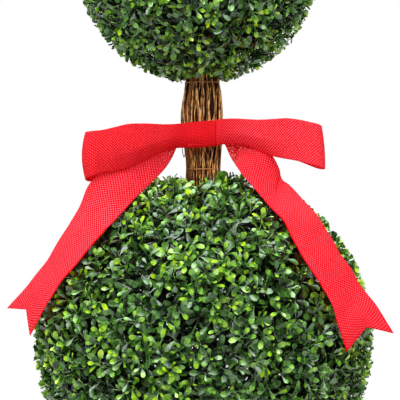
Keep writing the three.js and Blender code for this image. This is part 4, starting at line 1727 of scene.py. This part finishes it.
    def wrap(self) -> Object:
        """Make the wrap as a closed band of ribbon round all the gathered layers."""
        ring = self.section()
        inward = unit(ring.mean(0) - ring)
        count, spans = len(ring), self.wrap_spans
        rows = []
        for span in range(spans + 1):
            share = 2 * span / spans - 1
            x = self.knot_left + (self.knot_right - self.knot_left) * span / spans
            waist = ring + inward * self.wrap_waist * (1 - share**2)
            for shell in (waist, waist + inward * self.wrap_thickness):
                heights = shell[:, 1] + self.knot_line(x)
                rows.append(np.stack([np.full(count, x), shell[:, 0], heights], 1))
        points = np.concatenate(rows) * MM + np.array(self.origin())
        last = 2 * spans * count
        faces = band(count, 0, count) + band(last, last + count, count)
        for outer in range(0, last, 2 * count):
            inner, after = outer + count, outer + 2 * count
            faces += band(outer, after, count) + band(after + count, inner, count)
        piece = mesh_piece("ribbon_wrap", points, faces, RIBBON_FINISH)
        across = np.repeat(np.arange(spans + 1) / spans, 2 * count) * RIBBON_WIDTH * 0.62 + 9 * MM
        along = np.tile(run_length(ring) * MM, 2 * (spans + 1))
        lay_weave(piece, np.stack([across, along], 1))
        return piece

    def build(self) -> list[Object]:
        """Make and seat the bow.

        Returns:
            Its pieces, which the leaves keep clear of.
        """
        strips = [self.left_loop(), self.right_loop(), self.left_tail(), self.right_tail()]
        pieces = [seat(strip.piece(self.origin()), Slot.RIBBON, strip.node) for strip in strips]
        pieces.append(seat(self.wrap(), Slot.RIBBON, "bow_knot"))
        return pieces


def guard_of(pieces: Sequence[Object]) -> BVHTree:
    """Make one search tree over pieces that sit at the origin.

    Args:
        pieces: The pieces.

    Returns:
        The tree over all their faces.
    """
    points: list[Vector] = []
    faces: list[list[int]] = []
    for piece in pieces:
        start = len(points)
        points += [vertex.co.copy() for vertex in piece.data.vertices]
        faces += [[start + corner for corner in face.vertices] for face in piece.data.polygons]
    return BVHTree.FromPolygons(points, faces)


class LeafTint(Enum):
    """How a leaf is shaded in four bands from its stalk to its tip."""

    DEEP = (LeafShade.DEEP, LeafShade.DEEP, LeafShade.DEEP, LeafShade.DUSK)
    DUSK = (LeafShade.DEEP, LeafShade.DUSK, LeafShade.DUSK, LeafShade.DUSK)
    EDGED = (LeafShade.DUSK, LeafShade.DUSK, LeafShade.MID, LeafShade.MID)
    TIPPED = (LeafShade.DUSK, LeafShade.MID, LeafShade.FRESH, LeafShade.FRESH)
    LIME = (LeafShade.MID, LeafShade.FRESH, LeafShade.LIME, LeafShade.LIME)


@dataclass(frozen=True)
class LeafShape:
    """A spoon-shaped blade of unit length, from its stalk at the origin to its tip at +X.

    Rows give the place along the leaf, its half width there and which shade band follows.
    Spoon is the half width where the cup is full, and short how much curling shortens it.
    """

    cup: float
    curl: float
    twist: float
    spoon: float = 0.2
    short: float = 0.12
    rows: tuple[tuple[float, float, int], ...] = (
        (0.0, 0.03, 0),
        (0.27, 0.04, 0),
        (0.45, 0.115, 1),
        (0.64, 0.185, 2),
        (0.83, 0.19, 3),
        (0.95, 0.115, 3),
    )

    def mesh(self, name: str, tint: LeafTint) -> Mesh:
        """Make the blade with a shade number on each face.

        Args:
            name: The mesh's name.
            tint: The shades of its four bands.

        Returns:
            A sheet of 22 triangles.
        """
        reach = 1 - self.short * abs(self.curl)
        points: list[Place] = []
        for (along, half, _), side in product(self.rows, (-1, 0, 1)):
            angle = self.twist * along
            lift = self.cup * (half / self.spoon) * abs(side) - self.curl * along**2.2
            across = side * half
            points.append((
                along * reach,
                across * math.cos(angle) - lift * math.sin(angle) * 0.5,
                lift + across * math.sin(angle),
            ))
        points.append((reach, 0.0, -self.curl * 1.02))
        faces: list[Face] = []
        shades: list[LeafShade] = []
        for row, column in product(range(len(self.rows)), range(2)):
            here = row * 3 + column
            if row < len(self.rows) - 1:
                faces.append((here, here + 3, here + 4, here + 1))
            else:
                faces.append((here, len(points) - 1, here + 1))
            shades.append(tint.value[self.rows[row][2]])
        mesh = mesh_from(name, points, faces=faces)
        mesh.polygons.foreach_set("use_smooth", np.ones(len(faces), bool))
        note(mesh, Rule.SHADE, np.array(shades, int), "FACE")
        return mesh


LEAF_SHAPES = (
    LeafShape(cup=0.06, curl=0.08, twist=0.1),
    LeafShape(cup=0.1, curl=-0.12, twist=-0.14),
    LeafShape(cup=0.03, curl=0.22, twist=0.22),
)


@dataclass(frozen=True)
class LeafPair:
    """Two opposite leaves at one place along a sprig, or one of the two pairs at its tip."""

    along: float
    lift: float
    length: float
    spin: float


LEAF_PAIRS = (
    LeafPair(0.22, 80, 16.0 * MM, 0),
    LeafPair(0.42, 76, 16.5 * MM, 90),
    LeafPair(0.62, 71, 16.5 * MM, 0),
    LeafPair(0.80, 64, 16.5 * MM, 90),
    LeafPair(0.93, 54, 15.5 * MM, 0),
    LeafPair(1.00, 38, 13.0 * MM, 90),
)


# Place, share of the girth and shade of each point along a stalk.
STALK_STEPS = (
    (0.0, 1.0, LeafShade.BRANCH),
    (0.38, 0.85, LeafShade.BRANCH),
    (0.72, 0.66, LeafShade.STALK),
    (1.0, 0.45, LeafShade.STALK),
)


@dataclass
class Sprigs:
    """Sprigs of one ball, as arrays with one row a sprig.

    First and second are two directions across each sprig. Vigour is how fresh it is, from 0
    to 1.
    """

    root: Array
    tip: Array
    axis: Array
    first: Array
    second: Array
    vigour: Array


@dataclass
class Leaves:
    """Leaf places of one ball, as arrays with one row a leaf."""

    base: Array
    along: Array
    face: Array
    length: Array
    kind: Array

    def kept(self, chosen: Array) -> Leaves:
        """Return only the chosen leaves."""
        return Leaves(*(values[chosen] for values in vars(self).values()))

    def at(self, share: float) -> Array:
        """Return a point of each leaf, from its stalk at share 0 to its tip at share 1."""
        return self.base + self.along * self.length[:, None] * share

    def mesh(self, name: str) -> Mesh:
        """Return a point for each leaf, with its direction, face, length and kind on it."""
        mesh = mesh_from(name, self.base)
        for layer in ("along", "face", "length", "kind"):
            note(mesh, layer, getattr(self, layer))
        return mesh


@dataclass
class FoliageBall:
    """One clipped ball: a lattice in painted shade, sprigs that stand out of it, and their leaves.

    Every play is how far chance moves something: the turn and roll of a leaf in radians, its
    lift in degrees, its length in shares, and its freshness in steps of tint.
    """

    name: str
    node: str
    height: float
    reach: float
    lattice: float
    sprigs: int
    seed: int
    bands: int
    stem_above: bool
    rib: float = 1.9 * MM
    stalk: float = 0.95 * MM
    stalk_bend: float = 0.7 * MM
    nudge: float = 2.6
    tilt: float = 0.3
    sprig_length: float = 27 * MM
    tip_depth: tuple[float, float] = (3 * MM, 12 * MM)
    long_share: float = 0.2
    long_depth: float = 0.5 * MM
    shift: float = -2.0 * MM
    stem_clear: float = 23.0 * MM
    lattice_clear: float = 26.0 * MM
    pole_clear: float = 9.5 * MM
    collar: int = 16
    collar_reach: tuple[float, float] = (28 * MM, 46 * MM)
    collar_depth: float = 6 * MM
    crown_drop: float = 14 * MM
    crown_reach: tuple[float, float] = (26 * MM, 75 * MM)
    crown_slant: tuple[float, float] = (0.35, 0.55)
    ribbon_clear: float = 4.5 * MM
    ribbon_near: float = 45 * MM
    ribbon_sight: float = 30 * MM
    shortest: float = 6.5 * MM
    turn_play: float = 0.3
    lift_play: float = 10
    roll_play: float = 0.38
    length_play: tuple[float, float] = (0.84, 1.1)
    fresh_play: float = 0.45
    fresh_start: float = 1.7
    fresh_by_level: float = 3.1
    fresh_by_vigour: float = 2.5

    def directions(self, rng: np.random.Generator) -> Array:
        """Spread directions evenly over the ball, each nudged a little, and round its stem.

        Args:
            rng: The ball's random numbers.

        Returns:
            A direction for each sprig of the ball, then for each of its collars.
        """
        turn = np.arange(self.sprigs)
        height = 1 - (2 * turn + 1) / self.sprigs
        spread = polar(np.sqrt(1 - height**2), turn * GOLDEN_ANGLE, height)
        spread += (rng.random((self.sprigs, 3)) - 0.5) * self.nudge / math.sqrt(self.sprigs)
        rings = [unit(spread)]
        for end in (-1, 1) if self.stem_above else (-1,):
            out = rng.uniform(*self.collar_reach, self.collar) / self.reach
            around = (np.arange(self.collar) + rng.random(self.collar)) * 2 * math.pi / self.collar
            rings.append(polar(out, around, end * np.sqrt(1 - out**2)))
        return np.concatenate(rings)

    def depths(self, outward: Array, rng: np.random.Generator) -> Array:
        """Draw how deep the sprigs stand.

        Args:
            outward: The sprigs' directions from the ball's centre.
            rng: The ball's random numbers.

        Returns:
            A column of how far each sprig's tip lies under the ball's outline.
        """
        count = len(outward)
        depth = rng.uniform(*self.tip_depth, count)
        depth = np.where(rng.random(count) < self.long_share, self.long_depth, depth)
        depth[self.sprigs:] += self.collar_depth
        if self.stem_above:
            out = np.hypot(outward[:, 0], outward[:, 1]) * self.reach
            fall = np.interp(out, self.crown_reach, (self.crown_drop, 0))
            fall *= 1 - outward[:, :2] @ self.crown_slant * self.reach / out
            depth += np.where(outward[:, 2] > 0, fall, 0)
        return depth[:, None]

    def grow(self) -> tuple[Sprigs, Leaves]:
        """Grow every sprig and its leaves about the ball's own centre.

        Returns:
            The sprigs and all their leaves.
        """
        rng = np.random.default_rng(self.seed)
        outward = self.directions(rng)
        axis = unit(outward + rng.normal(0, self.tilt, outward.shape))
        tip = outward * (self.reach - self.depths(outward, rng))
        length = (self.sprig_length * rng.uniform(0.85, 1.15, len(tip)))[:, None]
        first = unit(np.cross(axis, rng.normal(0, 1, axis.shape)))
        sprigs = Sprigs(
            root=tip - axis * length, tip=tip, axis=axis, first=first,
            second=np.cross(axis, first), vigour=rng.random(len(tip)),
        )
        grown = [
            vars(self.pair_side(rng, sprigs, level, side)).values()
            for level, side in product(range(len(LEAF_PAIRS)), range(2))
        ]
        return sprigs, Leaves(*(np.concatenate(parts) for parts in zip(*grown)))

    def pair_side(self, rng: np.random.Generator, sprigs: Sprigs, level: int, side: int) -> Leaves:
        """Place one leaf of one pair on every sprig.

        Args:
            rng: The ball's random numbers.
            sprigs: The sprigs.
            level: Which pair it is, from the sprig's foot.
            side: Which of its two leaves.

        Returns:
            One leaf for each sprig.
        """
        pair = LEAF_PAIRS[level]
        count = len(sprigs.root)
        angle = math.radians(pair.spin) + side * math.pi + rng.normal(0, self.turn_play, count)
        spread = sprigs.first * np.cos(angle)[:, None] + sprigs.second * np.sin(angle)[:, None]
        lift = np.radians(pair.lift + rng.normal(0, self.lift_play, count))[:, None]
        along = unit(sprigs.axis * np.cos(lift) + spread * np.sin(lift))
        face = unit(sprigs.axis * np.sin(lift) - spread * np.cos(lift))
        roll = rng.normal(0, self.roll_play, count)[:, None]
        face = face * np.cos(roll) + np.cross(along, face) * np.sin(roll)
        base = sprigs.root + (sprigs.tip - sprigs.root) * pair.along
        length = pair.length * rng.uniform(*self.length_play, count)
        inward = (base * along).sum(1)
        room = np.sqrt(np.maximum(self.reach**2 - (base**2).sum(1) + inward**2, 0)) - inward
        length = np.minimum(length, room * 0.99)
        # Lower pairs get darker tints: the sprig's own colour, with painted shade in the deepest.
        fresh = level / (len(LEAF_PAIRS) - 1) * self.fresh_by_level
        fresh = fresh + sprigs.vigour * self.fresh_by_vigour - self.fresh_start
        fresh = fresh + rng.normal(0, self.fresh_play, count)
        tint = np.clip(np.round(fresh), 0, len(LeafTint) - 1).astype(int)
        kind = tint * len(LEAF_SHAPES) + rng.integers(0, len(LEAF_SHAPES), count)
        return Leaves(base, along, face, length, kind)

    def clear_of_stem(self, points: Array) -> Array:
        """Tell which points keep off the twig bundles, and off the bare pole between them.

        Args:
            points: Points about the ball's centre.

        Returns:
            True for each point that does.
        """
        height = points[:, 2] + self.height
        bundled = (height < LOWER_BUNDLE_TOP) | (
            (height > UPPER_BUNDLE_FOOT) & (height < UPPER_BUNDLE_TOP)
        )
        clear = np.where(bundled, self.stem_clear, self.pole_clear)
        clear[height > POLE_TOP] = 0
        return np.hypot(points[:, 0], points[:, 1]) > clear

    def clear_of_ribbon(self, points: Array, guard: BVHTree) -> Array:
        """Tell which points lie under the ribbon or beside it, not in, on or before it.

        Args:
            points: Points about the ball's centre.
            guard: The search tree over the bow.

        Returns:
            True for each point that does.
        """
        centre = Vector(self.settled(np.zeros(3)))
        clear = np.ones(len(points), bool)
        for number, point in enumerate(self.settled(points)):
            spot = Vector(point)
            place, _, _, distance = guard.find_nearest(spot, self.ribbon_near)
            if place is not None:
                ways = ((centre - spot).normalized(), Vector((0, 1, 0)))
                clear[number] = distance >= self.ribbon_clear and all(
                    guard.ray_cast(spot, way, self.ribbon_sight)[0] is None for way in ways
                )
        return clear

    def settled(self, points: Array) -> Array:
        """Return points about the ball's centre as they stand in the whole object."""
        return turned_tree(points, self.height) + np.array([self.shift, 0.0, 0.0])

    def leaf_shapes(self) -> Collection:
        """Make every leaf shape in every tint, in a collection of their own."""
        return shape_collection(f"{self.name}_leaf_shapes", [
            shape.mesh(f"leaf_shape_{number:02d}", tint)
            for number, (tint, shape) in enumerate(product(LeafTint, LEAF_SHAPES))
        ])

    def leaf_rule(self) -> Rule:
        """Write the rule that puts a leaf on every point."""
        rule = Rule(f"{self.name}_leafing")
        [size] = rule.given("Size")
        turn = rule.out(
            "FunctionNodeAxesToRotation",
            {
                "Primary Axis": rule.read("along", "FLOAT_VECTOR"),
                "Secondary Axis": rule.read("face", "FLOAT_VECTOR"),
            },
            primary_axis="X", secondary_axis="Z",
        )
        placed = rule.out(
            "GeometryNodeInstanceOnPoints",
            {
                "Points": rule.geometry(), "Instance": rule.shapes(), "Pick Instance": True,
                "Instance Index": rule.read("kind", "INT"), "Rotation": turn,
                "Scale": rule.times(rule.read("length"), size),
            },
        )
        rule.close(placed, list(LEAF_FINISHES.values()))
        return rule

    def stalk_rule(self) -> Rule:
        """Write the rule that gives each sprig's line its tapered stalk."""
        rule = Rule(f"{self.name}_stalks")
        [girth] = rule.given("Girth")
        [sides] = rule.given("Sides", kind="Int")
        lines = rule.out("GeometryNodeMeshToCurve", {"Mesh": rule.geometry()})
        taper = rule.times(rule.read("taper"), girth)
        rule.close(rule.tube(lines, sides, taper), list(LEAF_FINISHES.values()))
        return rule

    def stalk_lines(self, root: Array, tip: Array) -> Mesh:
        """Draw a slightly bent line for each sprig.

        Args:
            root: Where the sprigs start, about the ball's centre.
            tip: Where they end.

        Returns:
            The lines, with the taper and shade of the stalks on them.
        """
        rng = np.random.default_rng(self.seed + 7)
        bend = rng.normal(0, self.stalk_bend, root.shape)
        places, girths, shades = zip(*STALK_STEPS)
        rows = [root + (tip - root) * at + bend * math.sin(math.pi * at) for at in places]
        mesh = line_mesh(f"{self.name}_lines", self.settled(np.stack(rows, 1)))
        note(mesh, "taper", np.tile(girths, len(root)))
        note(mesh, Rule.SHADE, np.tile(np.array(shades, int), len(root)))
        return mesh

    def lattice_rule(self) -> Rule:
        """Write the rule of the moulded lattice ball that the sprigs are pushed into."""
        rule = Rule(f"{self.name}_lattice_rule")
        radius, rib, clear, height, shift = rule.given(
            "Radius", "Rib", "Clear", "Height", "Shift"
        )
        fineness, sides = rule.given("Fineness", "Sides", kind="Int")
        ball = rule.out("GeometryNodeMeshIcoSphere", {"Radius": radius, "Subdivisions": fineness})
        out, rise = rule.position()
        near = rule.maths("LESS_THAN", out, clear)
        if not self.stem_above:
            near = rule.times(near, rule.maths("LESS_THAN", rise, 0.0))
        ball = rule.out("GeometryNodeDeleteGeometry", {"Geometry": ball, "Selection": near})
        lift = rule.joined(x=shift, z=height)
        ball = rule.out("GeometryNodeSetPosition", {"Geometry": ball, "Offset": lift})
        ribs = rule.shaded(rule.out("GeometryNodeMeshToCurve", {"Mesh": ball}), 0)
        rule.close(rule.tube(ribs, sides, rib), [LATTICE_FINISH])
        return rule

    def seat_leaves(self, leaves: Leaves) -> None:
        """Make the leaves as pieces of a few upright bands and seat them.

        Args:
            leaves: All the ball's leaves, about its own centre.
        """
        azimuth = np.arctan2(leaves.base[:, 1], leaves.base[:, 0])
        bands = ((azimuth + math.pi) / (2 * math.pi) * self.bands).astype(int) % self.bands
        leaves = replace(
            leaves, base=self.settled(leaves.base), along=turned_tree(leaves.along),
            face=turned_tree(leaves.face),
        )
        shapes = self.leaf_shapes()
        rule = self.leaf_rule()
        for number in range(self.bands):
            name = f"{self.name}_leaves_{number + 1}"
            points = leaves.kept(bands == number).mesh(f"{name}_points")
            seat(rule.make(name, points, Shapes=shapes, Size=1.0), Slot.FOLIAGE, self.node)
        drop_collection(shapes)

    def build(self, guard: BVHTree) -> None:
        """Grow the ball and seat its leaves, stalks and lattice.

        Args:
            guard: The search tree over the bow, which nothing here may touch.
        """
        sprigs, leaves = self.grow()
        kept = leaves.length > self.shortest
        for share in (0.0, 0.55, 1.0):
            points = leaves.at(share)
            kept &= self.clear_of_stem(points)
            kept[kept] = self.clear_of_ribbon(points[kept], guard)
        LOG.info("%s: %d leaves", self.name, kept.sum())
        self.seat_leaves(leaves.kept(kept))

        free = self.clear_of_stem(sprigs.tip) & self.clear_of_stem(sprigs.root)
        free[free] = self.clear_of_ribbon(sprigs.tip[free], guard)
        lines = self.stalk_lines(sprigs.root[free], sprigs.tip[free])
        stalks = self.stalk_rule().make(f"{self.name}_stalks", lines, Sides=3, Girth=self.stalk)
        seat(stalks, Slot.FOLIAGE, self.node)
        lattice = self.lattice_rule().make(
            f"{self.name}_lattice", turn=TREE_TURN, Radius=self.lattice, Rib=self.rib, Sides=4,
            Clear=self.lattice_clear, Height=self.height, Shift=self.shift, Fineness=5,
        )
        seat(lattice, Slot.FOLIAGE, self.node)


@dataclass
class Studio:
    """Pale floor, soft lights, white backdrop and the camera at the photograph's viewpoint."""

    distance: float = 1.7
    camera_height: float = 0.6296
    camera_side: float = -0.0122
    view_width: float = 0.448
    sensor: float = 36.0
    floor_radius: float = 2.6
    floor_sides: int = 96
    ambient: float = 0.15

    def floor(self) -> None:
        """Lay a round floor under the pot."""
        angles = np.linspace(0, 2 * math.pi, self.floor_sides, endpoint=False)
        points = polar(self.floor_radius, angles, 0.0)
        faces = [tuple(range(self.floor_sides))]
        mesh_piece("floor", points, faces, FLOOR_FINISH, smooth=False)

    def light(self, name: str, place: Place, aim: Place, size: float, power: float) -> None:
        """Hang one square soft light and point it.

        Args:
            name: The light's name.
            place: Where it hangs, in metres.
            aim: What it points at.
            size: Its side.
            power: Its power in watts.
        """
        lamp = bpy.data.lights.new(name, "AREA")
        lamp.shape = "SQUARE"
        lamp.size = size
        lamp.energy = power
        holder = scene_object(name, lamp)
        holder.location = place
        holder.rotation_euler = (Vector(aim) - Vector(place)).to_track_quat("-Z", "Y").to_euler()

    def world(self) -> None:
        """Make the backdrop white to the camera and dimmer as light."""
        world = bpy.data.worlds.new("studio_white")
        bpy.context.scene.world = world
        world.use_nodes = True
        world.node_tree.nodes.clear()
        wiring = Wiring(world.node_tree)
        seen = wiring.out("ShaderNodeLightPath", output="Is Camera Ray")
        strength = wiring.mix(seen, self.ambient, 1.0)
        backdrop = wiring.out("ShaderNodeBackground", {"Color": (1, 1, 1, 1), "Strength": strength})
        wiring.add("ShaderNodeOutputWorld", {"Surface": backdrop})

    def camera(self) -> None:
        """Set the camera level, straight in front of the stem."""
        data = bpy.data.cameras.new("camera")
        data.sensor_width = self.sensor
        data.lens = self.sensor * self.distance / self.view_width
        data.clip_start = 0.05
        data.clip_end = 60
        holder = scene_object("camera", data)
        holder.location = (self.camera_side, -self.distance, self.camera_height)
        holder.rotation_euler = (math.pi / 2, 0, 0)
        bpy.context.scene.camera = holder

    def build(self) -> None:
        """Set up the whole studio."""
        bpy.context.scene.view_settings.view_transform = "Standard"
        self.floor()
        self.world()
        self.light("key", (-0.5, -1.2, 2.5), (0, 0, 0.62), 2.4, 126)
        self.light("side", (1.4, -1.5, 1.7), (0, 0, 0.62), 0.9, 16)
        self.light("back", (0.1, 1.6, 2.2), (0, 0, 0.7), 1.4, 54)
        self.camera()


def dress_pole(frame: dict) -> None:
    """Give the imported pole, which stays as it is, its wood finish.

    Args:
        frame: The loaded frame.
    """
    pole = frame["nodes"]["center_pole"]
    pole.data.materials.clear()
    pole.data.materials.append(POLE_FINISH.material())


def main() -> None:
    """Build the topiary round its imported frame, piece by piece."""
    logging.basicConfig(level=logging.INFO, format="%(name)s %(message)s")
    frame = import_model()
    Studio().build()
    dress_pole(frame)
    Pot().build()
    TwigBundle(
        "lower_stem_twigs", "lower_stem_bundle", 170.5 * MM, 317 * MM, (192 * MM, 300 * MM), 5
    ).build()
    TwigBundle(
        "upper_stem_twigs", "upper_stem_bundle", 633.5 * MM, 787.5 * MM, (665 * MM, 762 * MM), 9
    ).build()
    TieWires({
        "lower_bundle_tie_low": 192 * MM, "lower_bundle_tie_high": 300 * MM,
        "upper_bundle_tie_low": 665 * MM, "upper_bundle_tie_high": 762 * MM,
    }).build()
    guard = guard_of(Bow().build())
    FoliageBall(
        "lower_ball", "lower_ball", 475 * MM, 190 * MM, 161 * MM, 1600, 41, bands=3, stem_above=True
    ).build(guard)
    FoliageBall(
        "upper_ball", "upper_ball", 896 * MM, 137 * MM, 110 * MM, 850, 42, bands=2, stem_above=False
    ).build(guard)


if __name__ == "__main__":
    main()
